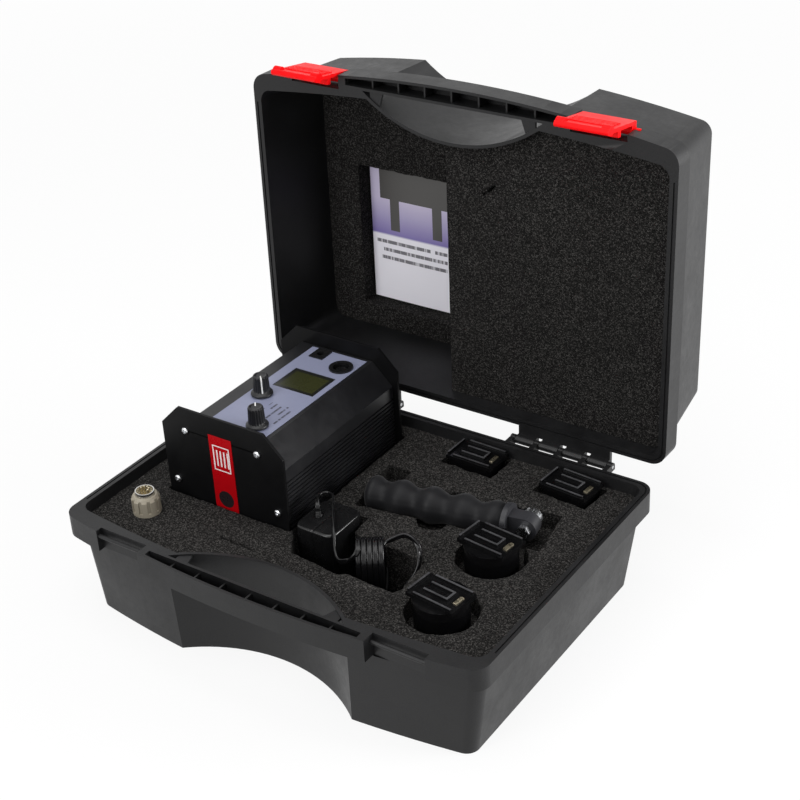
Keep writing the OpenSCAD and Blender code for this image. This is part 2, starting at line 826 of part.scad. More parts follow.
module mode_knob() {
    color("#2a2b2d") inst_frame() knob(mode_x, mode_y, -60);
}

module power_jack() {
    color("#17181a") inst_frame() difference() {
        translate([jack_x - jack_w / 2, jack_y - jack_l / 2, control_top])
            cube([jack_w, jack_l, body_top + 1.2 - control_top]);
        translate([jack_x, jack_y, body_top - 8]) difference() {
            cylinder(r = 3, h = 20);
            translate([0, 0, -1]) cylinder(r = 1, h = 8);
        }
    }
}

module trigger_socket() {
    color("#2b2c2e") inst_frame() translate([socket_x, socket_y, 0]) difference() {
        union() {
            translate([0, 0, control_top]) cylinder(r = socket_body_r, h = body_top - control_top + 0.2);
            translate([0, 0, body_top + label_t]) cylinder(r = socket_r, h = 1.4);
            translate([0, 0, body_top]) cylinder(r = socket_body_r, h = 1.5);
        }
        translate([0, 0, body_top - 7]) cylinder(r = 6.4, h = 20);
    }
    // round insulator with five contact holes
    color("#17181a") inst_frame() translate([socket_x, socket_y, 0]) difference() {
        translate([0, 0, body_top - 8]) cylinder(r = 4.6, h = 7);
        for (i = [0 : 4]) rotate([0, 0, 45 * i]) translate([3, 0, body_top - 6])
            cylinder(r = 0.75, h = 10, $fn = 16);
    }
}

module control_board() {
    color("#23653c") inst_frame()
        translate([control_x - control_w / 2, -control_l / 2, control_top - board_t])
            cube([control_w, control_l, board_t]);
}

module driver_board() {
    color("#23653c") inst_frame()
        translate([driver_x - driver_w / 2, -control_l / 2, driver_top])
            cube([driver_w, control_l, board_t]);
}

// Capacitors, coil and connectors on the driver board
module driver_parts() {
    z0 = driver_top + board_t;
    color("#3c4650") inst_frame() {
        for (i = [0 : 3]) translate([driver_x + (i - 1.5) * 2.4 * capacitor_r, capacitor_y, z0])
            cylinder(r = capacitor_r, h = capacitor_h);
        for (i = [0 : 1]) translate([driver_x + (i - 0.5) * 2.8 * reservoir_r,
            capacitor_y - 3.5 * reservoir_r, z0]) cylinder(r = reservoir_r, h = reservoir_h);
        translate([driver_x, -1.7 * coil_r, z0]) difference() {
            cylinder(r = coil_r, h = coil_h);
            translate([0, 0, -1]) cylinder(r = coil_r * 0.4, h = coil_h + 2);
        }
        for (i = [0 : 2]) translate([driver_x + (i - 1.3) * 1.7 * connector[0],
            -control_l / 2 + 1.4 * connector[1], z0]) cube(connector);
    }
}

// Spacers of both boards: upper ones hang from the top wall, lower ones stand on the floor
module board_spacers() {
    color("#b08d3c") inst_frame() for (sy = [-1, 1], sx = [-1, 1]) {
        translate([control_x + sx * control_spacer_x, sy * spacer_y, control_top])
            cylinder(r = spacer_r, h = inner_high - control_top, $fn = 6);
        translate([driver_x + sx * driver_spacer_x, sy * spacer_y, inner_low])
            cylinder(r = spacer_r, h = driver_top - inner_low, $fn = 6);
    }
}

// Middle of each light, counted along Y and up Z from the window's middle
module at_leds() {
    for (i = [0 : led_cols - 1], j = [0 : led_rows - 1])
        translate([0, (i - (led_cols - 1) / 2) * led_pitch,
            window_z + (j - (led_rows - 1) / 2) * led_pitch]) children();
}

module front_window() {
    color("#cfd8dc") inst_frame()
        translate([-inner_half, -window_l / 2 - 4, window_z - window_h / 2 - 4])
            cube([window_t, window_l + 8, window_h + 8]);
}

module lens_array() {
    color("#dfe7ea") inst_frame() {
        translate([lens_front, -led_cols * led_pitch / 2, window_z - led_pitch])
            cube([lens_plate_t, led_cols * led_pitch, 2 * led_pitch]);
        at_leds() translate([lens_front, 0, 0]) rotate([0, 90, 0])
            cylinder(r1 = lens_r, r2 = 3, h = lens_l);
    }
}

module led_emitters() {
    color("#e8d44a") inst_frame() at_leds()
        translate([emitter_x, -1.9, -1.9]) cube([emitter_t, 3.8, 3.8]);
}

module led_board() {
    color("#e6e8e6") inst_frame()
        translate([led_board_x, -window_l / 2, window_z - window_h / 2])
            cube([board_t, window_l, window_h]);
}

module heat_spreader() {
    color("#aab0b5") inst_frame() {
        translate([spreader_x, -window_l / 2, spreader_low])
            cube([spreader_t, window_l, window_z + window_h / 2 - spreader_low]);
        // web and foot that stand on the housing's floor, beside the screw channel
        translate([spreader_x + spreader_t, -window_l / 2, inner_low])
            cube([spreader_web_t, window_l, spreader_low - inner_low + spreader_foot[0]]);
        translate([spreader_x + spreader_t, -window_l / 2, inner_low])
            cube([spreader_foot[0], window_l, spreader_foot[1]]);
    }
}

// Threaded insert in the underside that the handle screws into
module handle_insert() {
    color("#b08d3c") inst_frame() translate([0, 0, body_z - 0.8]) difference() {
        union() {
            cylinder(r = insert_r, h = 0.8 + body_wall + 0.2);
            translate([0, 0, 0.8 + body_wall]) cylinder(r = insert_r + 1.5, h = 4);
        }
        translate([0, 0, -1]) cylinder(r = handle_thread_r, h = insert_l + 2);
    }
}

// The handle's own frame: X along it from its rounded end, Y along the tilt screw
module grip_frame() {
    translate([grip_x, grip_y, grip_z]) rotate([0, 0, grip_turn]) children();
}

// Radius of the grip at a share t of its length: round end, four finger swells, waist
function grip_radius(t) =
    let (cap = t < 0.09 ? sqrt(1 - pow((0.09 - t) / 0.09, 2)) : 1)
    cap * (grip_r - 1.2 * t + grip_swell * cos(360 * (4.5 * t - 0.2)));

module handle_grip() {
    color("#3a3b3e") grip_frame() rotate([0, 90, 0]) rotate_extrude() polygon(concat(
        [[0, 0]],
        [for (i = [1 : 56]) [grip_radius(i / 56), grip_l * i / 56]],
        [[0, grip_l]]
    ));
}

module handle_head() {
    color("#4b4d50") grip_frame() difference() {
        union() {
            translate([grip_l, 0, 0]) rotate([0, 90, 0]) cylinder(r = flange_r, h = flange_t);
            translate([grip_l + flange_t, -lug_t / 2, -lug_r])
                cube([tilt_u - grip_l - flange_t, lug_t, 2 * lug_r]);
            translate([tilt_u, lug_t / 2, 0]) rotate([90, 0, 0]) cylinder(r = lug_r, h = lug_t);
        }
        translate([tilt_u, lug_t, 0]) rotate([90, 0, 0])
            cylinder(r = stud_r + 0.05, h = 2 * lug_t);
    }
}

// Screw across the head: hexagon head in front, plain stud to the rear
module tilt_screw() {
    color("#d4d7da") grip_frame() translate([tilt_u, 0, 0]) rotate([-90, 0, 0]) {
        translate([0, 0, -lug_t / 2 - 4.2]) cylinder(r = 5.2, h = 4, $fn = 6);
        translate([0, 0, -lug_t / 2 - 0.3]) cylinder(r = stud_r, h = lug_t + stud_out + 0.3);
    }
}

// Knurled nut on the rear end of the tilt screw
module tilt_nut() {
    color("#2c2d30") grip_frame() translate([tilt_u, lug_t / 2 + 0.3, 0]) rotate([-90, 0, 0])
        difference() {
            union() {
                cylinder(r = nut_r - 0.8, h = nut_l);
                for (i = [0 : 11]) rotate([0, 0, 30 * i]) translate([nut_r - 1.4, -1, 1])
                    cube([1.4, 2, nut_l - 2]);
            }
            translate([0, 0, -1]) cylinder(r = stud_r + 0.05, h = nut_l + 2);
        }
}

// Rectangle with round corners, as points
function round_rect(w, l, r, n = 6) = [
    for (c = [[1, 1, 0], [-1, 1, 90], [-1, -1, 180], [1, -1, 270]], i = [0 : n])
        [c[0] * (w / 2 - r) + r * cos(c[2] + 90 * i / n),
         c[1] * (l / 2 - r) + r * sin(c[2] + 90 * i / n)]
];

module supply_frame() {
    translate([supply_x + supply_w / 2, supply_y + supply_l / 2, supply_z]) children();
}

// One half of the supply's case: side is -1 for the left half, 1 for the right half
module supply_half(side) {
    intersection() {
        difference() {
            linear_extrude(supply_h) polygon(round_rect(supply_w, supply_l, 4));
            translate([0, 0, supply_wall]) linear_extrude(supply_h - 2 * supply_wall)
                polygon(round_rect(supply_w - 2 * supply_wall, supply_l - 2 * supply_wall, 2));
            // rail slots of the interchangeable plug, in the underside
            translate([-rail_w / 2 + 4, -rail_l / 2, -1]) cube([rail_w - 8, rail_l, 1.8]);
        }
        translate([side < 0 ? -supply_w : 0, -supply_l, -1])
            cube([supply_w, 2 * supply_l, supply_h + 2]);
    }
}

module supply_shell_left() { color("#2b2c2f") supply_frame() supply_half(-1); }
module supply_shell_right() { color("#2b2c2f") supply_frame() supply_half(1); }

module supply_board() {
    z0 = supply_wall + 6;
    color("#3c4650") supply_frame() {
        translate([-supply_w / 2 + supply_wall, -supply_l / 2 + supply_wall + 2, z0])
            cube([supply_w - 2 * supply_wall, supply_l - 2 * supply_wall - 4, board_t]);
        translate([-9, -16, z0 + board_t]) cube([18, 16, 22]);
        for (x = [-6.5, 6.5]) translate([x, 8, z0 + board_t]) cylinder(r = 5.5, h = 18);
    }
}

module cord_relief() {
    color("#1c1d1f") translate([relief_x, relief_y, supply_top]) {
        cylinder(r1 = relief_r, r2 = relief_r - 0.7, h = relief_h);
        for (i = [0 : 2]) translate([0, 0, relief_h * (0.12 + 0.3 * i)])
            cylinder(r = relief_r + 0.6 - 0.2 * i, h = relief_h * 0.18);
    }
}

function unit(v) = v / norm(v);

// Directions along a route, and a sideways direction carried along it without twist
function headings(p) = [
    for (i = [0 : len(p) - 1]) unit(p[min(i + 1, len(p) - 1)] - p[max(i - 1, 0)])
];
function sideways(t, u, i = 0) = i == len(t) ? [] :
    let (v = unit(u - t[i] * (u * t[i]))) concat([v], sideways(t, v, i + 1));

// Round tube along a route
module cord_tube(p, r, sides = 8) {
    t = headings(p);
    u = sideways(t, [0.3, 1, 0.2]);
    n = len(p);
    ring_points = [
        for (i = [0 : n - 1], k = [0 : sides - 1])
            p[i] + r * (cos(360 * k / sides) * u[i] + sin(360 * k / sides) * cross(t[i], u[i]))
    ];
    side_faces = [
        for (i = [0 : n - 2], k = [0 : sides - 1], half = [0, 1])
            let (a = i * sides + k, b = i * sides + (k + 1) % sides)
            half == 0 ? [a, a + sides, b + sides] : [a, b + sides, b]
    ];
    polyhedron(ring_points, concat(
        [[for (k = [0 : sides - 1]) k]], side_faces,
        [[for (k = [0 : sides - 1]) n * sides - 1 - k]]
    ));
}

module supply_lead() { color("#232426") cord_tube(lead_route, cord_d / 2); }
module cord_tail() { color("#232426") cord_tube(tail_route, cord_d / 2); }

// Middle of the folded bundle's foot, with X across its turns
module hank_frame() {
    translate([hank_x, hank_y, hank_z]) rotate([0, 0, hank_turn]) children();
}

// Folded bundle of the lead, standing on edge in the pit
module cord_hank() {
    color("#232426") hank_frame() along_x(-hank_t / 2, hank_t / 2) {
        for (z = [hank_w / 2, hank_l - hank_w / 2]) translate([0, z]) circle(r = hank_w / 2);
        translate([-hank_w / 2, hank_w / 2]) square([hank_w, hank_l - hank_w]);
    }
}

module cord_tie() {
    color("#101112") hank_frame() translate([0, 0, (hank_l - tie_w) / 2]) difference() {
        translate([-hank_t / 2 - tie_t, -hank_w / 2 - tie_t, 0])
            cube([hank_t + 2 * tie_t, hank_w + 2 * tie_t, tie_w]);
        translate([-hank_t / 2, -hank_w / 2, -1]) cube([hank_t, hank_w, tie_w + 2]);
    }
}

// Barrel plug of the low-voltage lead, barrel down
module dc_plug() {
    color("#1c1d1f") translate([plug_x, plug_y, plug_z]) {
        difference() {
            cylinder(r = plug_barrel_r, h = plug_barrel_l + 1);
            translate([0, 0, -1]) cylinder(r = 1.1, h = plug_barrel_l);
        }
        translate([0, 0, plug_barrel_l]) cylinder(r = plug_r, h = plug_l * 0.6);
        translate([0, 0, plug_barrel_l + plug_l * 0.6])
            cylinder(r1 = plug_r, r2 = 2.6, h = plug_l * 0.4);
    }
}

// Puts a part drawn with its rail plate's top at z = 0 in an adapter's place
module adapter_frame(a) {
    translate([a[0], a[1], foam_top + a[3]]) rotate([0, 0, a[2]]) children();
}

// Rail plate with a U-shaped ridge open to the left, and side rails
module rail_plate() {
    translate([-rail_l / 2, -rail_w / 2, -rail_t]) cube([rail_l, rail_w, rail_t]);
    for (s = [-1, 1]) {
        translate([-rail_l / 2 + 6, s * (rail_w / 2 - 1.4) - 0.7, -slab])
            cube([rail_l - 8, 1.4, ridge_h]);
        translate([-rail_l / 2 + 9, s * 4.4 - 0.7, -slab]) cube([21, 1.4, ridge_h]);
    }
    translate([-rail_l / 2 + 30 - 1.4, -4.4, -slab]) cube([1.4, 8.8, ridge_h]);
    translate([-rail_l / 2, -rail_w / 2 + 2, -slab]) cube([1.4, rail_w - 4, ridge_h]);
}

// Contact pads near the plate's right end, above the rail plate
module contact_pads() {
    translate([rail_l / 2 - 6.5, -4.5, 0]) cube([3, 9, 0.9]);
}

module flat_adapter(a) {
    color("#1b1c1e") adapter_frame(a) {
        rail_plate();
        translate([0, 0, -flat_body_h]) linear_extrude(flat_body_h - rail_t + slab)
            polygon(round_rect(rail_l - 3, rail_w - 1, 4));
    }
}

module round_adapter(a) {
    color("#1b1c1e") adapter_frame(a) {
        rail_plate();
        translate([0, 0, -round_body_h]) cylinder(r = round_body_r, h = round_body_h - rail_t + slab);
    }
}

// A flat blade under a body of height h, at x and y and turned
module blade(x, y, turn, w, t, h) {
    translate([x, y, -h - pin_l]) rotate([0, 0, turn]) translate([-w / 2, -t / 2, 0])
        cube([w, t, pin_l]);
}

module adapter_a_body() { flat_adapter(adapter_a); }
module adapter_b_body() { flat_adapter(adapter_b); }
module adapter_c_body() { round_adapter(adapter_c); }
module adapter_d_body() { round_adapter(adapter_d); }

module adapter_a_pins() {
    color("#c9b98a") adapter_frame(adapter_a) {
        contact_pads();
        for (s = [-1, 1]) blade(s * flat_pitch / 2, 0, 90, blade_w, blade_t, flat_body_h);
    }
}

module adapter_b_pins() {
    color("#c9b98a") adapter_frame(adapter_b) {
        contact_pads();
        for (s = [-1, 1]) blade(s * slant_pitch / 2, 0, s * 60, blade_w, blade_t, flat_body_h);
    }
}

module adapter_c_pins() {
    color("#c9b98a") adapter_frame(adapter_c) {
        contact_pads();
        for (s = [-1, 1]) translate([s * round_pitch / 2, 0, -round_body_h - pin_l])
            cylinder(r = round_pin_r, h = pin_l);
    }
}

module adapter_d_pins() {
    color("#c9b98a") adapter_frame(adapter_d) {
        contact_pads();
        blade(0, earth_y, 90, earth_w, square_t, round_body_h);
        for (s = [-1, 1]) blade(s * square_pitch / 2, live_y, 0, blade_w, square_t, round_body_h);
    }
}

// Ring of the trigger plug, free to turn on the shell, with grip slots round it
module din_ring() {
    color("#d8d3c3") translate([din_x, din_y, foam_top + gap]) difference() {
        union() {
            cylinder(r = ring_d / 2, h = ring_h - 3);
            translate([0, 0, ring_h - 3]) cylinder(r1 = ring_d / 2, r2 = ring_d / 2 - 2, h = 3);
        }
        translate([0, 0, -1]) cylinder(r = din_shell_r + 0.06, h = ring_h + 2);
        for (i = [0 : 9]) rotate([0, 0, 36 * i]) translate([ring_d / 2 - 0.9, -1.3, 3])
            cube([3, 2.6, ring_h]);
    }
}

module din_shell() {
    color("#a9adb2") translate([din_x, din_y, 0]) difference() {
        translate([0, 0, din_bottom]) cylinder(r = din_shell_r, h = din_top - din_bottom);
        translate([0, 0, din_top - 9]) cylinder(r = din_shell_r - 0.8, h = 20);
    }
}

module din_pins() {
    color("#c2b27a") translate([din_x, din_y, din_top - 9]) {
        cylinder(r = din_shell_r - 0.8, h = 2.5);
        for (i = [0 : 4]) rotate([0, 0, 45 * i]) translate([3.3, 0, 0])
            cylinder(r = 0.75, h = 10.5, $fn = 16);
    }
}

case_base();
hinge_pins();
base_foam();
base_foam_floor();
case_lid();
lid_foam_right();
lid_foam_left();
latch_left();
latch_right();
booklet();
housing();
end_plate_left();
end_plate_right();
end_plate_screws();
side_label();
panel_label();
display_window();
display_module();
rate_encoder();
mode_switch();
power_jack();
trigger_socket();
control_board();
driver_board();
driver_parts();
board_spacers();
led_board();
led_emitters();
lens_array();
front_window();
heat_spreader();
handle_insert();
rate_knob();
rate_shaft();
mode_knob();
mode_shaft();
handle_grip();
handle_head();
tilt_screw();
tilt_nut();
supply_shell_left();
supply_shell_right();
supply_board();
cord_relief();
supply_lead();
cord_hank();
cord_tie();
cord_tail();
dc_plug();
adapter_a_body();
adapter_a_pins();
adapter_b_body();
adapter_b_pins();
adapter_c_body();
adapter_c_pins();
adapter_d_body();
adapter_d_pins();
din_ring();
din_shell();
din_pins();
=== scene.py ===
from functools import partialmethod

import bpy
import numpy as np
from bpy.props import FloatProperty, FloatVectorProperty, IntProperty, PointerProperty
from mathutils import Matrix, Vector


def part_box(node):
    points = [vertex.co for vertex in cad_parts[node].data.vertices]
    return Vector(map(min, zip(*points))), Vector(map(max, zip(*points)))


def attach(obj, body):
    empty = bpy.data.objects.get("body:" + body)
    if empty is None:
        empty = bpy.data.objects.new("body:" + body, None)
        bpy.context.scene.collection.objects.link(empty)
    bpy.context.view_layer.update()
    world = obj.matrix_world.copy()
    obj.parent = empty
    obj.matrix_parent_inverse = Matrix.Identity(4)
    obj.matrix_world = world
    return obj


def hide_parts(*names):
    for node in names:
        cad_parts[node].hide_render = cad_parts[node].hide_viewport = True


bl_info = {
    "name": "Stroboscope Set",
    "version": (1, 0, 0),
    "blender": (4, 5, 0),
    "location": "View3D > Sidebar > Stroboscope",
    "description": "Dresses the packed stroboscope set with its lead, foam, controls and finishes",
    "category": "Object",
}

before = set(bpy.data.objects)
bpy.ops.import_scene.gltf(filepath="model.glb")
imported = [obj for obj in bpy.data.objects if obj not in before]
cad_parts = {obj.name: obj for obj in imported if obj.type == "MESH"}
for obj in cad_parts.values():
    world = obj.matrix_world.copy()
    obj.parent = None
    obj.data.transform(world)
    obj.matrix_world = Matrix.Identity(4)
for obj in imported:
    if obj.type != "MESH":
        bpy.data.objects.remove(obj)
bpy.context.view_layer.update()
MM = 0.001


def tone(red, green, blue):
    """Linear colour of a colour picked as 0-255 display values: c/12.92 or ((c+0.055)/1.055)^2.4."""
    c = np.array([red, green, blue]) / 255
    return tuple(float(v) for v in np.where(c <= 0.04045, c / 12.92, ((c + 0.055) / 1.055) ** 2.4))


def shade_of(colour, share, more=0.0):
    """Colour made darker or paler, at most white."""
    return tuple(min(1.0, c * share + more) for c in colour)


def low(node):
    """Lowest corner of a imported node, in millimetres."""
    return np.array(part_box(node)[0]) / MM


def high(node):
    """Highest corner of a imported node, in millimetres."""
    return np.array(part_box(node)[1]) / MM


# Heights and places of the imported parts, in millimetres: case and hinge, foam, instrument, grip, and
# the lead's folded bundle (hank)
RIM_Z = 85.0
LID_H = 87.0
LID_GAP = 0.3
WALL = 2.6
HINGE_Y = 145.0
HINGE_Z = 82.0
LID_ANGLE = np.radians(91.0)
FOAM_TOP = 76.0
FOAM_FOOT = 3.2
FOAM_DEEP = 236.0
THICK_TOP = LID_H - 10.0
THIN_TOP = LID_H - 68.5
LID_FOOT = 3.0
PIT_Z = 23.0
INST_X = -88.0
INST_Y = 36.0
INST_Z = 23.3
KNOB_Z = 141.5
GRIP_X = -7.0
GRIP_Y = 28.0
GRIP_Z = 78.0
GRIP_TURN = np.radians(9.5)
HANK_X = 45.0
HANK_Y = -41.0
HANK_Z = 23.3
HANK_TURN = np.radians(33.0)


def colour_property(name, description, value):
    return FloatVectorProperty(name=name, description=description, subtype="COLOR", size=3,
                               min=0.0, max=1.0, default=value)


def length_property(name, description, millimetres):
    return FloatProperty(name=name, description=description, default=millimetres * MM,
                         unit="LENGTH", precision=5)


class StrobeLeadSizes(bpy.types.PropertyGroup):
    """Sizes of the supply's twin lead"""

    width: length_property("Width", "Width over both strands of the lead", 4.2)
    strand: length_property("Strand radius", "Radius of one strand", 1.1)
    length: length_property("Length", "Real length from relief to plug", 1800.0)
    turns: IntProperty(name="Points", description="Points round one strand", default=9, min=5)


class StrobeFoamSizes(bpy.types.PropertyGroup):
    """Sizes of the cut foam"""

    spacing: length_property("Spacing", "Distance between points of the foam's surface", 1.5)
    wave: length_property("Cut wave", "How far the hand-cut pocket edges wander", 0.45)
    swell: length_property("Swell", "Unevenness of the foam's top", 0.25)
    edge: length_property("Edge", "Roundness of the pocket edges", 0.7)


class StrobeControlSizes(bpy.types.PropertyGroup):
    """Sizes of the knobs, grip and supply"""

    flutes: IntProperty(name="Flutes", description="Grooves round a knob", default=18, min=6)
    flute_depth: length_property("Flute depth", "Depth of a knob's grooves", 0.5)
    pointer: length_property("Pointer", "Width of the knobs' pointer line", 1.1)
    lobe: length_property("Finger lobe", "Height of the grip's finger swells", 1.9)
    supply_edge: length_property("Supply edge", "Edge radius of the supply's case", 1.8)


class StrobeColours(bpy.types.PropertyGroup):
    """Colours of the set's finishes"""

    case: colour_property("Case", "Moulded plastic of the case", tone(16, 16, 17))
    foam: colour_property("Foam", "Charcoal foam", tone(35, 34, 33))
    latch: colour_property("Latch", "Red latches", tone(240, 10, 16))
    housing: colour_property("Housing", "Black anodised housing", tone(20, 20, 22))
    panel: colour_property("Panel", "Printed panel film", tone(132, 136, 160))
    label: colour_property("Label", "Red side label", tone(168, 4, 14))
    display: colour_property("Display", "Liquid crystal display", tone(52, 54, 30))
    grip: colour_property("Grip", "Soft grip", tone(18, 18, 20))
    ivory: colour_property("Ring", "Ivory ring of the trigger plug", tone(146, 139, 124))
    paper: colour_property("Paper", "Booklet's white paper", tone(244, 242, 250))
    print_tint: colour_property("Booklet tint", "Purple field on the booklet", tone(112, 98, 168))


# Shader nodes

class Field:
    """Shader value that takes part in sums: each operator or method adds the node that works it out."""

    def __init__(self, socket):
        self.socket = socket
        self.tree = socket.id_data

    def math(self, operation, other=0.5, clamp=False):
        """One math node's result."""
        return made(self.tree, "ShaderNodeMath", {0: self, 1: other}, operation=operation,
                    use_clamp=clamp)

    __add__ = partialmethod(math, "ADD")
    __sub__ = partialmethod(math, "SUBTRACT")
    __mul__ = partialmethod(math, "MULTIPLY")
    __truediv__ = partialmethod(math, "DIVIDE")
    __pow__ = partialmethod(math, "POWER")
    __lt__ = partialmethod(math, "LESS_THAN")
    __gt__ = partialmethod(math, "GREATER_THAN")
    __abs__ = partialmethod(math, "ABSOLUTE")
    fract = partialmethod(math, "FRACT")
    whole = partialmethod(math, "FLOOR")
    most = partialmethod(math, "MAXIMUM")

    def between(self, start, end):
        """1 between two values and 0 elsewhere."""
        return (self > start) * (self < end)

    def spread(self, start, end, first=0.0, last=1.0):
        """This value carried from one range to another, clamped."""
        return made(self.tree, "ShaderNodeMapRange", {"Value": self, 1: start, 2: end, 3: first, 4: last})

    def blend(self, a, b):
        """Colour a where this is 0 and b where it is 1."""
        return made(self.tree, "ShaderNodeMix", {0: self, 6: a, 7: b}, 2, data_type="RGBA")

    def noise(self, scale, detail=3.0, rough=0.5):
        """Fractal noise at this place."""
        return made(self.tree, "ShaderNodeTexNoise",
                    {"Vector": self, "Scale": scale, "Detail": detail, "Roughness": rough})

    def cells(self, scale, output=0, **settings):
        """Voronoi cells: distance to the nearest cell's point, or its colour as output 1."""
        return made(self.tree, "ShaderNodeTexVoronoi", {"Vector": self, "Scale": scale}, output, **settings)

    def axes(self):
        """Fields of x, y and z."""
        return [Field(socket) for socket in put(self.tree, "ShaderNodeSeparateXYZ", {0: self}).outputs]

    def in_mm(self, centre, turn=0.0):
        """This place as millimetres from a centre, turned about Z."""
        return made(self.tree, "ShaderNodeMapping",
                    {"Vector": self, "Rotation": (0, 0, turn), "Scale": (MM, MM, MM),
                     "Location": tuple(float(c) * MM for c in centre)}, vector_type="TEXTURE")


def fill(socket, value):
    """Links a field to a socket, or sets the socket to a number, vector or colour."""
    if isinstance(value, Field):
        value.tree.links.new(value.socket, socket)
    else:
        socket.default_value = (*value, 1.0) if socket.type == "RGBA" else value


def put(tree, kind, inputs=None, **settings):
    """Adds a node, sets its settings and fills its inputs."""
    node = tree.nodes.new(kind)
    for key, value in settings.items():
        setattr(node, key, value)
    for key, value in (inputs or {}).items():
        fill(node.inputs[key], value)
    return node


def made(tree, kind, inputs, output=0, **settings):
    """Adds a node and returns one of its outputs."""
    return Field(put(tree, kind, inputs, **settings).outputs[output])


def feed(node, **values):
    """Fills a node's inputs by name, with _ for a space."""
    for key, value in values.items():
        fill(node.inputs[key.replace("_", " ")], value)


def place(tree):
    """Object coordinates in metres."""
    return made(tree, "ShaderNodeTexCoord", {}, "Object")


def group(name, inputs, outputs):
    """New shader node group, its inputs a vector (None) or numbers: returns the node that takes its
    outputs, and its inputs as fields."""
    tree = bpy.data.node_groups.new(name, "ShaderNodeTree")
    for label, value in inputs.items():
        kind = "NodeSocketVector" if value is None else "NodeSocketFloat"
        socket = tree.interface.new_socket(name=label, in_out="INPUT", socket_type=kind)
        if value is not None:
            socket.default_value = value
    for label in outputs:
        tree.interface.new_socket(name=label, in_out="OUTPUT", socket_type="NodeSocketFloat")
    start = put(tree, "NodeGroupInput")
    return put(tree, "NodeGroupOutput"), [Field(start.outputs[label]) for label in inputs]


def use(name, **inputs):
    """Places a node group beside its first input and returns its outputs by name."""
    tree = next(iter(inputs.values())).tree
    node = put(tree, "ShaderNodeGroup", node_tree=bpy.data.node_groups[name])
    feed(node, **inputs)
    return {socket.name: Field(socket) for socket in node.outputs}


def make_groups():
    """Effects that several finishes share."""
    # moulded grain: small rounded pebbles, from smooth Voronoi cells broken by noise
    end, (at, scale) = group("Moulded grain", {"Vector": None, "Cells": 900.0}, ["Height", "Shade"])
    pebbles = made(at.tree, "ShaderNodeTexVoronoi", {"Vector": at, "Scale": scale, "Smoothness": 0.6},
                   feature="SMOOTH_F1")
    feed(end, Height=pebbles * -0.8 + at.noise(2400.0, 2.0) * 0.5, Shade=pebbles.spread(0.1, 0.8, 1.0, 0.0))

    # foam: open cells as dark pits at two sizes, with a few pale chips among them
    end, (at, scale) = group("Foam cells", {"Vector": None, "Cells": 700.0}, ["Shade", "Height", "Patch"])
    pits = at.cells(scale) * 0.55 + at.cells(scale * 2.3) * 0.45
    chance = at.cells(scale * 1.6, 1).axes()[0]
    feed(end, Shade=pits.spread(0.22, 0.62, 0.3, 1.0) * chance ** 3.2, Height=pits,
         Patch=at.noise(22.0, 4.0, 0.6).spread(0.3, 0.7))

    # handling marks: soft smudges with a few finer streaks
    end, (at, scale) = group("Handling marks", {"Vector": None, "Scale": 30.0}, ["Mask"])
    marks = at.noise(scale, 5.0, 0.6) * 0.75 + at.noise(scale * 9.0, 2.0) * 0.25
    feed(end, Mask=marks.spread(0.36, 0.64))

    # printed rows: words of uneven length on even rows
    end, (point, pitch, share, words) = group(
        "Printed rows", {"Point": None, "Pitch": 4.0, "Share": 0.45, "Words": 0.5}, ["Mask"])
    x, y, _ = point.axes()
    line = y / pitch
    along = made(point.tree, "ShaderNodeCombineXYZ", {0: x / pitch, 1: line.whole() * 7.3, 2: 0.5})
    letters = along.noise(5.0, 1.0).spread(0.35, 0.5, 0.35, 1.0)
    feed(end, Mask=(line.fract() < share) * (along.noise(0.55, 0.0) < words) * letters)

    # brushed metal: noise drawn out along one direction
    end, (at,) = group("Brushed metal", {"Vector": None}, ["Height"])
    drawn = made(at.tree, "ShaderNodeMapping", {"Vector": at, "Scale": (60.0, 2600.0, 2600.0)})
    feed(end, Height=drawn.noise(1.0, 2.0))


def finish_of(name, colour, rough, metallic=0.0, uv=None, **fixed):
    """New material with a Principled shader: returns material, shader, and its coordinates, which are
    the object's in metres or a UV map's."""
    material = bpy.data.materials.new(name)
    material.use_nodes = True
    tree = material.node_tree
    shader = tree.nodes["Principled BSDF"]
    feed(shader, Base_Color=colour, Roughness=rough, Metallic=metallic, **fixed)
    return material, shader, made(tree, "ShaderNodeUVMap", {}, uv_map=uv) if uv else place(tree)


def bumped(shader, height, strength, depth):
    """Feeds a height, whose full range is a depth in millimetres, to the shader's normal."""
    feed(shader, Normal=made(shader.id_data, "ShaderNodeBump",
                             {"Strength": strength, "Distance": depth * MM, "Height": height}))


def grained(shader, at, cells, strength, depth):
    """Bumps a shader with the moulded grain and returns the paleness of the grain's tops."""
    grain = use("Moulded grain", Vector=at, Cells=cells)
    bumped(shader, grain["Height"], strength, depth)
    return grain["Shade"]


def handled(shader, at, scale, smooth, rough):
    """Spreads a shader's roughness by handling marks and returns their mask."""
    marks = use("Handling marks", Vector=at, Scale=scale)["Mask"]
    feed(shader, Roughness=marks.spread(0.0, 1.0, smooth, rough))
    return marks


def plastic(name, colour, rough, cells, strength, depth, lift, specular, **fixed):
    """Grained moulded plastic: grain bump, pebble tops a little paler, smudged roughness."""
    material, shader, at = finish_of(name, colour, rough, Specular_IOR_Level=specular, **fixed)
    tops = grained(shader, at, cells, strength, depth)
    marks = handled(shader, at, 26.0, rough - 0.06, rough + 0.08)
    share = tops.math("MULTIPLY", marks + 0.3, True)
    feed(shader, Base_Color=share.blend(colour, shade_of(colour, lift, 0.002)))
    return material


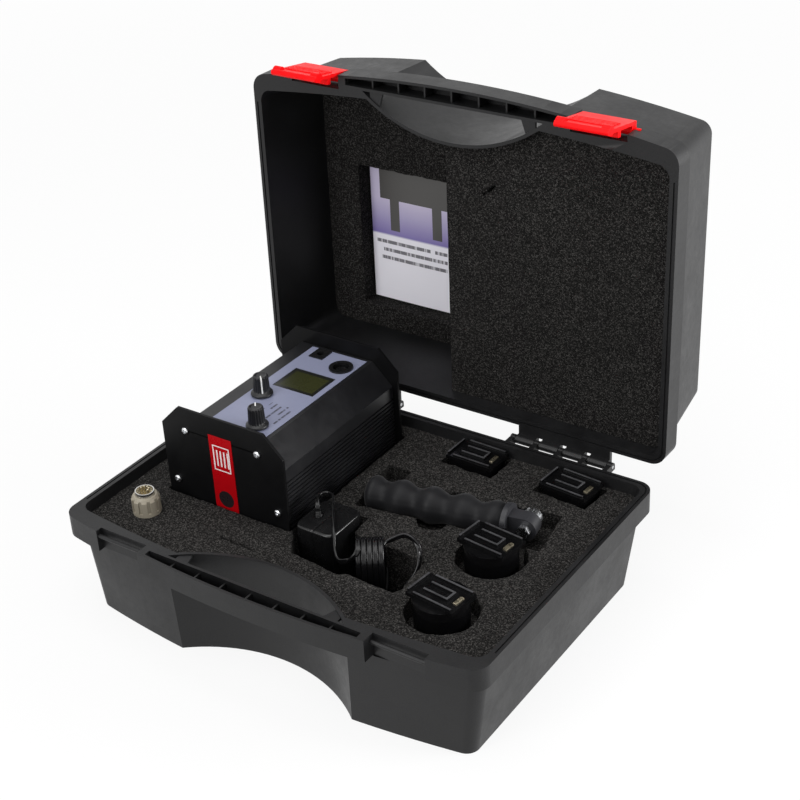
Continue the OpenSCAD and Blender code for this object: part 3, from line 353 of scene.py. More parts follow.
def foam_finish(name, colour):
    """Open-cell foam: dark pits, pale chips and faint patches of lie."""
    material, shader, at = finish_of(name, colour, 0.95, Specular_IOR_Level=0.12)
    foam = use("Foam cells", Vector=at, Cells=820.0)
    base = foam["Shade"].blend(shade_of(colour, 0.35), shade_of(colour, 6.0))
    feed(shader, Base_Color=(foam["Patch"] * 0.22).blend(base, shade_of(colour, 0.4)))
    bumped(shader, foam["Height"], 0.8, 0.5)
    return material


def metal(name, colour, rough):
    """Bright metal with fine drawn lines and smudges."""
    material, shader, at = finish_of(name, colour, rough, 1.0)
    marks = handled(shader, at, 120.0, rough - 0.06, rough + 0.14)
    feed(shader, Base_Color=(marks * 0.4).blend(colour, shade_of(colour, 0.7)))
    bumped(shader, use("Brushed metal", Vector=at)["Height"], 0.12, 0.05)
    return material


def adapter_finish(name, top):
    """Glossy black plastic whose raised ridges, half a millimetre down from top, are painted paler as a
    highlight, broken up by handling marks.
    """
    colour = tone(9, 9, 10)
    material, shader, at = finish_of(name, colour, 0.16, Specular_IOR_Level=0.3)
    marks = handled(shader, at, 90.0, 0.12, 0.26)
    # painted highlight: the ridge tops turn pale grey, weakened in places by the handling marks
    ridge = at.axes()[2].spread((top - 0.6) * MM, (top - 0.2) * MM)
    painted_ridge_highlight = ridge * marks.spread(0.0, 1.0, 0.45, 1.0)
    feed(shader, Base_Color=painted_ridge_highlight.blend(colour, tone(76, 76, 78)))
    grained(shader, at, 1800.0, 0.12, 0.03)
    return material


def board_finish(name, colour):
    """Circuit board: solder mask with copper tracks under it and pale pads."""
    material, shader, at = finish_of(name, colour, 0.35)
    pads = at.cells(320.0, distance="CHEBYCHEV") < 0.12
    tracks = at.noise(240.0, 1.0) > 0.54
    mask = (tracks * 0.5).blend(colour, shade_of(colour, 0.55))
    feed(shader, Base_Color=pads.blend(mask, (0.55, 0.53, 0.42)))
    bumped(shader, tracks, 0.3, 0.05)
    return material


def panel_finish(name, colour):
    """Panel film: pale printed field with rows of small print beside the knobs."""
    material, shader, at = finish_of(name, colour, 0.42, Coat_Weight=0.1, Coat_Roughness=0.25,
                                     Specular_IOR_Level=0.3)
    centre = (INST_X, INST_Y, 0)
    x, y, _ = at.in_mm(centre).axes()
    rows = use("Printed rows", Point=at.in_mm(centre, np.pi / 2), Pitch=5.2, Share=0.34, Words=0.52)
    right = x.between(4.5, 28.0) * y.between(-46.0, -18.0)
    left = x.between(-27.5, -22.0) * y.between(-68.0, -20.0)
    ink = rows["Mask"] * right.most(left)
    film = (handled(shader, at, 60.0, 0.32, 0.46) * 0.25).blend(colour, shade_of(colour, 0.8))
    feed(shader, Base_Color=(ink * 0.85).blend(film, tone(38, 38, 46)))
    grained(shader, at, 1500.0, 0.15, 0.05)
    return material


def label_finish(name, colour):
    """Red side label: pale frame with upright bars, a dark round spot, and a strip of fine rows."""
    material, shader, at = finish_of(name, colour, 0.4, Specular_IOR_Level=0.12)
    x, _, z = at.in_mm((INST_X - 1.0, 0, INST_Z)).axes()
    across = abs(x)
    up = abs(z - 96.0)
    outer = (across < 8.0) * (up < 11.0)
    inner = (across < 7.0) * (up < 10.0)
    bars = (up < 7.0) * ((x / 3.4).fract() > 0.6)
    frame_and_bars = (outer - inner).most(bars * inner)
    spot_z = z - 60.0
    spot = (x * x + spot_z * spot_z) < 52.0
    strip = (z < 46.0) * (((z / 3.1).fract() > 0.55) * (across < 3.6))
    base = (handled(shader, at, 70.0, 0.24, 0.4) * 0.3).blend(colour, shade_of(colour, 0.72))
    base = frame_and_bars.blend(base, tone(226, 214, 214))
    base = spot.blend(base, tone(34, 26, 28))
    feed(shader, Base_Color=(strip * 0.8).blend(base, tone(196, 150, 154)))
    return material


def display_finish(name, colour):
    """Unlit display: clouded olive glass, darkened round its edges as painted shade of its recess."""
    material, shader, at = finish_of(name, colour, 0.22, Specular_IOR_Level=0.3)
    x, y, _ = at.in_mm((INST_X + 7.0, INST_Y + 19.5, 0)).axes()
    # painted shade: the glass turns dark grey towards its edges, where its recess would shade it
    rim = (abs(x) - 16.0).most(abs(y) - 11.8).spread(-0.4, 0.5)
    glass = (at.noise(90.0) * 0.6).blend(colour, shade_of(colour, 0.6))
    feed(shader, Base_Color=rim.blend(glass, tone(30, 31, 28)))
    return material


def booklet_finish(name, paper, tint):
    """Booklet cover on its own UV map: purple field with pale sheen and a plain grey shape above,
    white paper with dark rows of print below."""
    material, shader, at = finish_of(name, paper, 0.35, uv="Cover", Coat_Weight=0.2, Coat_Roughness=0.15)
    u, v, _ = at.axes()
    purple = v.spread(0.5, 0.76).blend(tint, tone(206, 198, 220))
    purple = (at.noise(2.2) * 0.4).blend(purple, tone(168, 158, 204))
    # grey block with two legs standing in the field
    across = abs(u - 0.53)
    block = (across < 0.42) * (abs(v - 0.88) < 0.12)
    legs = (abs(across - 0.25) < 0.055) * (abs(v - 0.65) < 0.12)
    purple = block.most(legs).blend(purple, tone(70, 68, 66))
    point = made(at.tree, "ShaderNodeVectorMath", {0: at, 1: (85.0, 122.0, 1.0)}, operation="MULTIPLY")
    rows = use("Printed rows", Point=point, Pitch=7.4, Share=0.42, Words=0.62)
    ink = rows["Mask"] * (v.between(0.3, 0.465) * (abs(u - 0.47) < 0.42))
    white = (ink * 0.85).blend(paper, tone(48, 46, 54))
    feed(shader, Base_Color=v.spread(0.485, 0.5).blend(white, purple))
    bumped(shader, at.noise(40.0), 0.1, 0.1)
    return material


def clear_finish(name, colour, rough):
    """Clear moulded plastic with faint haze."""
    material, shader, at = finish_of(name, colour, rough, Transmission_Weight=0.85, IOR=1.49)
    feed(shader, Roughness=at.noise(60.0).spread(0.3, 0.7, rough, rough + 0.12))
    bumped(shader, at.noise(900.0, 1.0), 0.1, 0.05)
    return material


def make_finishes(colours):
    """All materials of the set, by name."""
    # plastics: colour, roughness, grain cells to the metre, bump strength and depth, how much paler
    # the grain's tops are, and specular level
    plastics = {
        "case": ("Case plastic", colours.case, 0.44, 1000.0, 0.4, 0.12, 1.5, 0.32),
        "latch": ("Latch plastic", colours.latch, 0.36, 1300.0, 0.2, 0.06, 1.0, 0.1),
        "housing": ("Anodised housing", colours.housing, 0.36, 2600.0, 0.2, 0.04, 1.3, 0.35),
        "plate": ("Plate lacquer", tone(9, 9, 10), 0.4, 2200.0, 0.25, 0.05, 1.3, 0.1),
        "knob": ("Knob plastic", tone(20, 20, 22), 0.36, 1600.0, 0.2, 0.05, 1.4, 0.35),
        "pointer": ("Pointer line", tone(226, 226, 224), 0.5, 1600.0, 0.1, 0.03, 1.0, 0.5),
        "gloss": ("Glossy black", tone(22, 22, 23), 0.2, 2600.0, 0.08, 0.03, 1.2, 0.35),
        "supply": ("Supply plastic", tone(12, 12, 13), 0.24, 1500.0, 0.2, 0.04, 1.3, 0.4),
        "lead": ("Lead sheath", tone(9, 9, 10), 0.2, 2400.0, 0.1, 0.03, 1.3, 0.3),
        "tie": ("Tie", tone(14, 14, 15), 0.6, 2200.0, 0.5, 0.1, 1.6, 0.5),
        "head": ("Head plastic", tone(42, 42, 45), 0.42, 1500.0, 0.25, 0.06, 1.2, 0.3),
        "ivory": ("Ring plastic", colours.ivory, 0.4, 1500.0, 0.15, 0.05, 1.03, 0.35),
        "component": ("Component", tone(58, 60, 64), 0.4, 700.0, 0.4, 0.1, 1.5, 0.5),
        "emitter": ("Emitter", tone(226, 206, 70), 0.3, 1800.0, 0.1, 0.03, 1.0, 0.5),
    }
    finishes = {key: plastic(name, tuple(colour), *values)
                for key, (name, colour, *values) in plastics.items()}
    finishes.update({
        "grip": plastic("Grip rubber", tuple(colours.grip), 0.5, 1500.0, 0.3, 0.08, 1.25, 0.16,
                        Sheen_Weight=0.05, Sheen_Roughness=0.5),
        "foam": foam_finish("Base foam", tuple(colours.foam)),
        # lid foam: the base foam's colour at 0.7, darker as painted shade, not a different foam
        "lid_foam": foam_finish("Lid foam in painted shade", shade_of(colours.foam, 0.7)),
        "flat_adapter": adapter_finish("Flat adapter plastic", high("adapter_a_body")[2]),
        "round_adapter": adapter_finish("Round adapter plastic", high("adapter_c_body")[2]),
        "white_board": board_finish("White board", tone(226, 226, 222)),
        "green_board": board_finish("Green board", tone(24, 92, 52)),
        "panel": panel_finish("Panel film", tuple(colours.panel)),
        "label": label_finish("Side label", tuple(colours.label)),
        "display": display_finish("Display glass", tuple(colours.display)),
        "booklet": booklet_finish("Booklet cover", tuple(colours.paper), tuple(colours.print_tint)),
        "clear": clear_finish("Clear lens", (0.9, 0.95, 0.96), 0.04),
        "steel": metal("Screw steel", (0.72, 0.73, 0.75), 0.24),
        "pin_steel": metal("Pin steel", (0.5, 0.51, 0.52), 0.34),
        "brass": metal("Nickel brass", (0.72, 0.64, 0.46), 0.26),
        "shell_metal": metal("Plug shell", (0.66, 0.65, 0.63), 0.2),
        "aluminium": metal("Bare aluminium", (0.68, 0.69, 0.7), 0.36),
    })
    return finishes


FINISHES = {}


# Surfaces from numpy grids

def join(*parts):
    """Numbers or arrays, such as x, y and z, spread to one shape and joined as the last axis."""
    return np.stack(np.broadcast_arrays(*parts), -1)


def about_z(angle):
    """Matrix that turns points, taken as rows, about Z."""
    c, s = np.cos(angle), np.sin(angle)
    return np.array([[c, s, 0], [-s, c, 0], [0, 0, 1]])


def run_length(path):
    """Length run along a path at each of its points."""
    return np.concatenate([[0], np.cumsum(np.linalg.norm(np.diff(path, axis=0), axis=1))])


def grid_faces(rows, columns, closed=False, looped=False):
    """Quads between neighbours of a rows by columns grid; closed joins the last column to the first,
    looped the last row to the first."""
    index = np.arange(rows * columns).reshape(rows, columns)
    if closed:
        index = np.hstack([index, index[:, :1]])
    if looped:
        index = np.vstack([index, index[:1]])
    return join(index[:-1, :-1], index[1:, :-1], index[1:, 1:], index[:-1, 1:]).reshape(-1, 4)


def border_of(grid):
    """A grid's border values in one loop."""
    return np.concatenate([grid[0, :-1], grid[:-1, -1], grid[-1, :0:-1], grid[:0:-1, 0]])


def loop_of(grid):
    """Border of a grid of points in one loop."""
    return join(*(border_of(grid[..., i]) for i in range(3)))


def volume(points, quads, triangles):
    """Signed volume of a closed surface: a sixth of the sum of the triangles' triple products."""
    corners = np.vstack([quads[:, [0, 1, 2]], quads[:, [0, 2, 3]], triangles])
    a, b, c = (points[corners[:, i]] for i in range(3))
    return float(np.einsum("ij,ij->i", a, np.cross(b, c)).sum()) / 6


def add_object(name, data):
    """New object in the scene."""
    thing = bpy.data.objects.new(name, data)
    bpy.context.scene.collection.objects.link(thing)
    return thing


def add_mesh(name, points, faces, material):
    """New mesh object from points in millimetres."""
    mesh = bpy.data.meshes.new(name)
    mesh.from_pydata((points * MM).tolist(), [], faces)
    mesh.materials.append(material)
    return add_object(name, mesh)


def make_piece(name, surface, finish, body, stands_for=(), sharp=40.0):
    """Puts a closed surface in millimetres into the scene as one piece, with its faces outward and
    edges over sharp degrees left sharp."""
    points, quads, triangles = surface
    triangles = np.asarray(triangles, int).reshape(-1, 3)
    if volume(points - points.mean(0), quads, triangles) < 0:
        quads, triangles = quads[:, ::-1], triangles[:, ::-1]
    piece = add_mesh(name, points, quads.tolist() + triangles.tolist(), FINISHES[finish])
    mesh = piece.data
    mesh.polygons.foreach_set("use_smooth", np.ones(len(mesh.polygons), bool))
    mesh.set_sharp_from_angle(angle=np.radians(sharp))
    mesh.update()
    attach(piece, body)
    if stands_for:
        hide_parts(*stands_for)
    return piece


def tube(rings, turn=None, at=(0, 0, 0)):
    """Rings of points (count, around, 3) as a closed tube, quads and a fan over each end, turned by a
    matrix and moved."""
    count, around, _ = rings.shape
    points = np.vstack([rings.reshape(-1, 3), rings[0].mean(0), rings[-1].mean(0)])
    ring = np.arange(around)
    ends = [join(loop, np.roll(loop, -1), centre) for loop, centre in
            ((ring, count * around), (ring + (count - 1) * around, count * around + 1))]
    fans = np.vstack([ends[0][:, ::-1], ends[1]])
    return (points if turn is None else points @ turn) + at, grid_faces(count, around, True), fans


def lathe(profile, around, ripple=None):
    """Rings of a turned shape: profile rows are radius and height; ripple(angle, row) is added
    to the radius."""
    angle = np.linspace(0, 2 * np.pi, around, endpoint=False)[None, :]
    radius = profile[:, :1] + 0 * angle
    if ripple:
        radius = radius + ripple(angle, np.arange(len(profile))[:, None])
    return join(radius * np.cos(angle), radius * np.sin(angle), profile[:, 1:2])


def slab(top, foot):
    """Closes a grid of top points (rows, columns, 3) with a skirt down to foot, a loop of points
    under the grid's border, and a fan under it."""
    rows, columns, _ = top.shape
    border = border_of(np.arange(rows * columns).reshape(rows, columns))
    under = rows * columns + np.arange(len(border))
    skirt = join(border, under, np.roll(under, -1), np.roll(border, -1))
    points = np.vstack([top.reshape(-1, 3), foot, foot.mean(0)])
    fan = join(under, np.roll(under, -1), len(points) - 1)[:, ::-1]
    return points, np.vstack([grid_faces(rows, columns), skirt]), fan


# Lead

def spline(knots, step):
    """Natural cubic spline through knots by chord length, in points about step apart:
    each span is the cubic whose second derivatives solve the usual banded system."""
    s = run_length(knots)
    h = np.diff(s)
    n = len(knots)
    system = np.eye(n)
    right = np.zeros((n, 3))
    inner = np.arange(1, n - 1)
    system[inner, inner - 1] = h[:-1]
    system[inner, inner] = 2 * (h[:-1] + h[1:])
    system[inner, inner + 1] = h[1:]
    right[1:-1] = 6 * np.diff(np.diff(knots, axis=0) / h[:, None], axis=0)
    bend = np.linalg.solve(system, right)
    t = np.linspace(0, s[-1], int(s[-1] / step) + 1)
    k = np.clip(np.searchsorted(s, t, side="right") - 1, 0, n - 2)
    a, b, width = (s[k + 1] - t)[:, None], (t - s[k])[:, None], h[k][:, None]
    curve = (bend[k] * a ** 3 + bend[k + 1] * b ** 3) / (6 * width)
    chord = (knots[k] / width - bend[k] * width / 6) * a
    return curve + chord + (knots[k + 1] / width - bend[k + 1] * width / 6) * b


def hank_point(across, forward, up):
    """Point of the folded bundle's own frame, in the common frame."""
    c, s = np.cos(HANK_TURN), np.sin(HANK_TURN)
    return join(HANK_X + across * c - forward * s, HANK_Y + across * s + forward * c, HANK_Z + up)


# Column and fold radius of each turn of the folded bundle, the heights of its folds' centres and of the
# knots past them, and where on its top fold the first turn begins and the last one ends
TURNS = [(-8.2, 14.4), (-8.2, 12.2), (-4.1, 12.2), (-4.1, 14.4), (0.0, 14.4), (0.0, 12.2),
         (4.1, 12.2), (4.1, 14.4), (8.2, 14.4), (8.2, 12.2), (8.2, 10.0)]
FOLD_LOW = 15.5
FOLD_HIGH = 54.5
LEGS = np.array([10.0, 20.0, 30.0])
FIRST_FOLD = np.radians(62)
LAST_FOLD = np.radians(84)
# Half width and depth of the strap's loop round the bundle, and its height
STRAP_HALF = (10.9, 16.2)
STRAP_UP = 35.0


def bundle_knots():
    """Knots of the folded bundle. A turn is a long loop: over the top fold from front to back, down,
    round the low fold and up again. Its column and radius change along the low fold."""
    knots = []
    share = np.linspace(0, 1, 12)
    ease = share * share * (3 - 2 * share)
    turn = np.pi * share
    last = len(TURNS) - 1
    for i, (column, radius) in enumerate(TURNS):
        angle = np.linspace(FIRST_FOLD if i == 0 else 0.0, LAST_FOLD if i == last else np.pi, 8)
        knots.append(hank_point(column, -radius * np.cos(angle), FOLD_HIGH + radius * np.sin(angle)))
        if i < last:
            next_column, next_radius = TURNS[i + 1]
            across = column + (next_column - column) * ease
            size = radius + (next_radius - radius) * ease
            knots += [hank_point(column, radius, FOLD_HIGH - LEGS),
                      hank_point(across, size * np.cos(turn), FOLD_LOW - size * np.sin(turn)),
                      hank_point(next_column, -next_radius, FOLD_LOW + LEGS)]
    return np.vstack(knots)


# Points of the lead before and after the bundle, and the step between points of its whole path
LEAD_STEP = 1.3
LEAD_START = np.array([
    [-15, -22.5, 88], [-15, -22.5, 89], [-15.5, -22, 91], [-17, -20, 92.5], [-19, -17.5, 93],
    [-20.5, -14.5, 93], [-21, -11.5, 93], [-20, -8.5, 93], [-17.5, -6.5, 93], [-14.5, -6.5, 93],
    [-12, -7.5, 93], [-10, -9.5, 93], [-7, -13.5, 92.5], [-3.5, -18.5, 92], [0, -23.5, 91.5],
    [3.5, -28.5, 91], [7, -33, 90], [10.5, -37.5, 88.5], [13.5, -41.5, 85.5], [16, -45, 81.5],
    [18.5, -48, 78], [21.5, -50.5, 75.5], [25, -52, 75], [29, -53, 76.5], [33, -54, 79],
    [37, -55, 82], [40, -55, 85], [41.8, -53.6, 88],
])
LEAD_END = np.array([
    [52, -33, 88.4], [53, -30.5, 88.7], [55, -28, 89.5], [58.5, -24.5, 91], [62, -22, 92],
    [66, -21, 91.5], [70, -21, 89.5], [73.5, -22, 86.5], [76, -24, 83], [77.5, -26.5, 79],
    [78, -29.5, 74.5], [77, -32.5, 70], [75, -35, 66], [72.5, -37, 62], [70.5, -38, 58],
    [70, -38, 54],
])


def lead_frame(path):
    """Headings and width directions along the lead: wished directions at a few lengths, blended
    between them and squared to the heading."""
    heading = np.gradient(path, axis=0)
    heading /= np.linalg.norm(heading, axis=1)[:, None]
    s = run_length(path)
    end = s[-1]
    across = [np.cos(HANK_TURN), np.sin(HANK_TURN), 0]
    up = [0, 0, 1]
    at = [0, 5, 14, 95, 112, end - 76, end - 58, end - 46, end - 30, end]
    wish = np.array([[0.8, 0.6, 0], [0.8, 0.6, 0], up, up, across, across, up, up, [0, 1, 0], [0, 1, 0]])
    side = join(*(np.interp(s, at, wish[:, i]) for i in range(3)))
    side -= heading * np.einsum("ij,ij->i", side, heading)[:, None]
    side /= np.linalg.norm(side, axis=1)[:, None]
    return heading, side


class STROBE_OT_lead(bpy.types.Operator):
    """Twin lead from the supply's relief through its folded bundle to the barrel plug"""

    bl_idname = "strobe.lead"
    bl_label = "Lead"

    def execute(self, context):
        sizes = context.scene.strobe_lead
        path = spline(np.vstack([LEAD_START, bundle_knots(), LEAD_END]), LEAD_STEP)
        heading, side = lead_frame(path)
        lift = np.cross(heading, side)
        # figure of eight section: two touching circles drawn as one outline
        strand = sizes.strand / MM
        apart = sizes.width / MM / 2 - strand
        half = np.linspace(-0.72 * np.pi, 0.72 * np.pi, sizes.turns)
        right = join(apart + strand * np.cos(half), strand * np.sin(half))
        outline = np.vstack([right, -right])[None, :, :, None]
        rings = path[:, None] + outline[:, :, 0] * side[:, None] + outline[:, :, 1] * lift[:, None]
        lead = make_piece("lead", tube(rings), "lead", "supply",
                          ("supply_lead", "cord_hank", "cord_tail"), 60.0)
        return {"FINISHED"}


class STROBE_OT_lead_fittings(bpy.types.Operator):
    """Ribbed relief on the supply and the strap round the folded bundle"""

    bl_idname = "strobe.lead_fittings"
    bl_label = "Relief and Strap"

    def execute(self, context):
        # relief: a taper with four rounded ribs, r = 3.45 - 0.8 t + 0.4 max(0, sin(8 pi t))^0.7
        foot, top = low("cord_relief")[2], high("cord_relief")[2]
        t = np.linspace(0, 1, 40)
        radius = 3.45 - 0.8 * t + 0.4 * np.maximum(0, np.sin(8 * np.pi * t)) ** 0.7 * (t < 0.9)
        radius[-1] = 2.2
        rings = lathe(join(radius, foot + (top - foot + 0.4) * t), 28)
        rings[..., :2] += LEAD_START[0, :2]
        make_piece("lead_relief", tube(rings), "lead", "supply", ("cord_relief",), 35.0)

        # strap: a flat section carried round a superellipse |x/a|^5 + |y/b|^5 = 1, thicker at its clasp
        turn = np.linspace(0, 2 * np.pi, 120, endpoint=False)[:, None]
        a, b = STRAP_HALF
        r = (np.abs(np.cos(turn) / a) ** 5 + np.abs(np.sin(turn) / b) ** 5) ** (-1 / 5)
        clasp = 0.6 * np.exp(-((turn - 4.2) / 0.22) ** 2)
        section = np.array([[-0.35, -1.9], [0.25, -2.1], [0.45, -1.6],
                            [0.45, 1.6], [0.25, 2.1], [-0.35, 1.9]])
        out = r + section[:, 0] * (1 + clasp)
        points = hank_point(out * np.cos(turn), out * np.sin(turn),
                            STRAP_UP + section[:, 1] + 0.6 * np.sin(turn)).reshape(-1, 3)
        make_piece("lead_tie", (points, grid_faces(120, 6, True, True), []), "tie", "supply",
                   ("cord_tie",))
        return {"FINISHED"}


# Foam

# Inside of a case half at its floor, and what the flare of its walls adds at its rim: half width, front,
# how far the front bows out, corner radius and back. The hollow behind the carrying bar is round.
INSIDE = [(167.1, 11.0), (-119.6, 3.9), (14.8, -3.8), (9.0, 1.0), (119.1, 8.0)]
HOLLOW_Y = -216.0
HOLLOW_R = 126.9


def inside(z, height):
    """Measures of a case half's inside at height z, which grow evenly up to its rim."""
    clear = WALL + 0.3
    t = (z - clear) / (height + 1 - clear)
    return [start + more * t for start, more in INSIDE]


def cavity(x, z, height):
    """Front and back of a case half's inside at a place x and height z: a line bowed out by the
    square of x, rounded corners, and the hollow behind the carrying bar."""
    half, front, bow, corner, back = inside(z, height)
    past = np.clip(np.abs(x) - (half - corner), 0, corner)
    round_in = corner - np.sqrt(corner ** 2 - past ** 2)
    hollow = HOLLOW_Y + np.sqrt(np.maximum(HOLLOW_R ** 2 - x ** 2, 0))
    return np.maximum(front + bow * (x / half) ** 2 + round_in, hollow), back - round_in


def lid_place(points):
    """Points of the lid on its own floor, rim up, carried to the open lid: turned over onto the base,
    then swung back about the hinge."""
    y = points[..., 1] - HINGE_Y
    z = RIM_Z + LID_GAP + LID_H - points[..., 2] - HINGE_Z
    c, s = np.cos(LID_ANGLE), np.sin(LID_ANGLE)
    return join(points[..., 0], HINGE_Y + y * c + z * s, HINGE_Z - y * s + z * c)


def turned(x, y, cx, cy, angle):
    """Coordinates from a centre, turned back by an angle."""
    c, s = np.cos(angle), np.sin(angle)
    return (x - cx) * c + (y - cy) * s, -(x - cx) * s + (y - cy) * c


def box_distance(u, v, u0, u1, v0, v1):
    """Signed distance to a rectangle's edge, negative inside."""
    a = np.abs(u - (u0 + u1) / 2) - (u1 - u0) / 2
    b = np.abs(v - (v0 + v1) / 2) - (v1 - v0) / 2
    return np.hypot(np.maximum(a, 0), np.maximum(b, 0)) + np.minimum(np.maximum(a, b), 0)


def disc_distance(u, v, cu, cv, radius):
    """Signed distance to a circle, negative inside."""
    return np.hypot(u - cu, v - cv) - radius


def polygon_distance(x, y, corners):
    """Signed distance to a polygon: the least distance to an edge, negative where a ray crosses
    an odd number of edges."""
    best = np.full(x.shape, 1e9)
    inside = np.zeros(x.shape, bool)
    for (ax, ay), (bx, by) in zip(corners, np.roll(corners, -1, axis=0)):
        ex, ey = bx - ax, by - ay
        t = np.clip(((x - ax) * ex + (y - ay) * ey) / (ex * ex + ey * ey), 0, 1)
        best = np.minimum(best, np.hypot(x - ax - t * ex, y - ay - t * ey))
        if ay != by:
            inside ^= ((ay > y) != (by > y)) & (x < ex * (y - ay) / ey + ax)
    return np.where(inside, -best, best)


def waves(x, y, size):
    """Uneven smooth waves, a sum of sines at several lengths and directions."""
    return size * (np.sin(0.31 * x + 0.9) * np.cos(0.27 * y) + 0.6 * np.sin(0.53 * y - 0.21 * x)
                   + 0.4 * np.cos(0.83 * x + 0.61 * y)) / 1.4


# Outline of the pit for supply and lead, and place and turn in degrees of each adapter's pocket
PIT = np.array([[-28, -36], [-12, -62], [34, -67], [38, -63], [80, -65], [83, -58], [80, -24],
                [57, -21], [24, -20], [14, -18], [13, 2], [-28, 2]], float)
FLAT_ADAPTERS = [(42.0, 110.5, -2.0), (126.0, 109.5, -5.0)]
ROUND_ADAPTERS = [(118.0, 6.0, -7.0), (121.0, -65.0, -7.0)]


def base_pockets(x, y, wave):
    """Signed distance and floor height of every pocket cut into the base foam: stroboscope, supply,
    grip's trough, head, both finger cuts, side cut, trigger plug, and each adapter with its pins."""
    x = x + waves(y, x, wave)
    y = y + waves(x + 40, y, wave)
    u, v = turned(x, y, GRIP_X, GRIP_Y, GRIP_TURN)
    trough = GRIP_Z - np.sqrt(np.maximum(16.0 ** 2 - v ** 2, 0))
    cuts = [
        (box_distance(x, y, INST_X - 60, INST_X + 60, INST_Y - 77.5, INST_Y + 77.5), PIT_Z),
        (polygon_distance(x, y, PIT), PIT_Z),
        (box_distance(u, v, -2.5, 121.5, -15.87, 15.87), trough),
        (box_distance(u, v, 114, 150, -24, 24), 61.5),
        (disc_distance(u, v, 67.3, 14.5, 12.0), 64.0),
        (disc_distance(u, v, 61.6, -15.0, 12.0), 64.0),
        (box_distance(x, y, -15, 6, 52, 72), 62.0),
        (disc_distance(x, y, -140, -74, 8.4), 45.7),
    ]
    for cx, cy, turn in FLAT_ADAPTERS:
        a, b = turned(x, y, cx, cy, np.radians(turn))
        cuts.append((box_distance(a, b, -24.5, 22.5, -15.5, 15.5), 62.7))
        cuts.append((box_distance(a, b, -16.5, 16.5, -10.5, 10.5), 40.0))
    for cx, cy, turn in ROUND_ADAPTERS:
        a, b = turned(x, y, cx, cy, np.radians(turn))
        cuts.append((disc_distance(a, b, 0, 0, 26.5), 60.7))
        cuts.append((box_distance(a, b, -15, 15, -14, 14), 38.0))
    return cuts


# Bands along a pocket's edge, in grid spacings: drawn onto the edge, and dropped to the floor just inside
# it; then how far inside the drop stands, and the reach of the rounding on top, in millimetres
RIM_BAND = 0.52
DROP_BAND = 1.6
DROP_INSET = 0.25
ROUND_REACH = 1.1


def nearest(cuts):
    """Signed distance to the nearest of several cuts."""
    return np.minimum.reduce([distance for distance, _ in cuts])


def cut_surface(x, y, cuts_at, top, sizes):
    """Foam height field: points in the rim band are drawn onto the pocket's edge, the ring inside them
    drops to the pocket's floor, and the top rounds off by exp(-distance) at the edge."""
    spacing, edge = sizes.spacing / MM, sizes.edge / MM
    cuts = cuts_at(x, y)
    distance = nearest(cuts)
    step = 0.05
    slope = [(nearest(cuts_at(x + dx, y + dy)) - distance) / step for dx, dy in ((step, 0), (0, step))]
    inner = np.zeros(x.shape, bool)
    inner[1:-1, 1:-1] = True
    rim = (np.abs(distance) < RIM_BAND * spacing) & inner
    drop = (distance <= -RIM_BAND * spacing) & (distance > -DROP_BAND * spacing) & inner
    move = np.where(rim, distance, 0) + np.where(drop, distance + DROP_INSET, 0)
    z = top - edge * np.exp(-np.maximum(distance, 0) / ROUND_REACH)
    for depth, floor in cuts:
        z = np.where((depth < 0) & ~rim, np.minimum(z, floor), z)
    return x - move * slope[0], y - move * slope[1], z


def knife_slit(x, y, z, start, length, angle, depth):
    """Draws points near a short slit onto its line and sinks them."""
    u, v = turned(x, y, *start, angle)
    near = (np.abs(v) < 0.8) & (u > 0) & (u < length)
    c, s = np.cos(angle), np.sin(angle)
    return (np.where(near, x + v * s, x), np.where(near, y - v * c, y),
            np.where(near, z - depth * np.minimum(1, np.minimum(u, length - u) / 3), z))


def foam_sheet(x0, x1, z_top, z_foot, height, sizes):
    """Grid of x, y and z over a case half's inside at about z_top, and its border carried down to
    z_foot."""
    spacing = sizes.spacing / MM
    x = np.linspace(x0, x1, int((x1 - x0) / spacing))
    front, back = cavity(x, z_top, height)
    share = np.linspace(0, 1, int(FOAM_DEEP / spacing))[:, None]
    x, y = (part.copy() for part in np.broadcast_arrays(x, front + (back - front) * share))
    z = z_top + waves(x * 0.3, y * 0.3, sizes.swell / MM)
    shrink = inside(z_foot, height)[0] / inside(z_top, height)[0]
    low_x = np.where(np.abs(x[0]) > 100, x[0] * shrink, x[0])
    front, back = cavity(low_x, z_foot, height)
    foot = join(low_x, front + (back - front) * share, z_foot)
    return x, y, z, loop_of(foot)


class STROBE_OT_base_foam(bpy.types.Operator):
    """Base foam with its cut pockets, troughs and finger cuts"""

    bl_idname = "strobe.base_foam"
    bl_label = "Base Foam"

    def execute(self, context):
        sizes = context.scene.strobe_foam
        wave = sizes.wave / MM
        half = inside(FOAM_TOP, RIM_Z)[0]
        x, y, z, foot = foam_sheet(-half, half, FOAM_TOP, FOAM_FOOT, RIM_Z, sizes)
        x, y, z = cut_surface(x, y, lambda a, b: base_pockets(a, b, wave), z, sizes)
        x, y, z = knife_slit(x, y, z, (-70.0, -72.8), 34.0, np.radians(-1.5), 6.0)
        piece = make_piece("base_foam_cut", slab(join(x, y, z), foot), "foam", "case",
                           ("base_foam", "base_foam_floor"), 50.0)
        return {"FINISHED"}


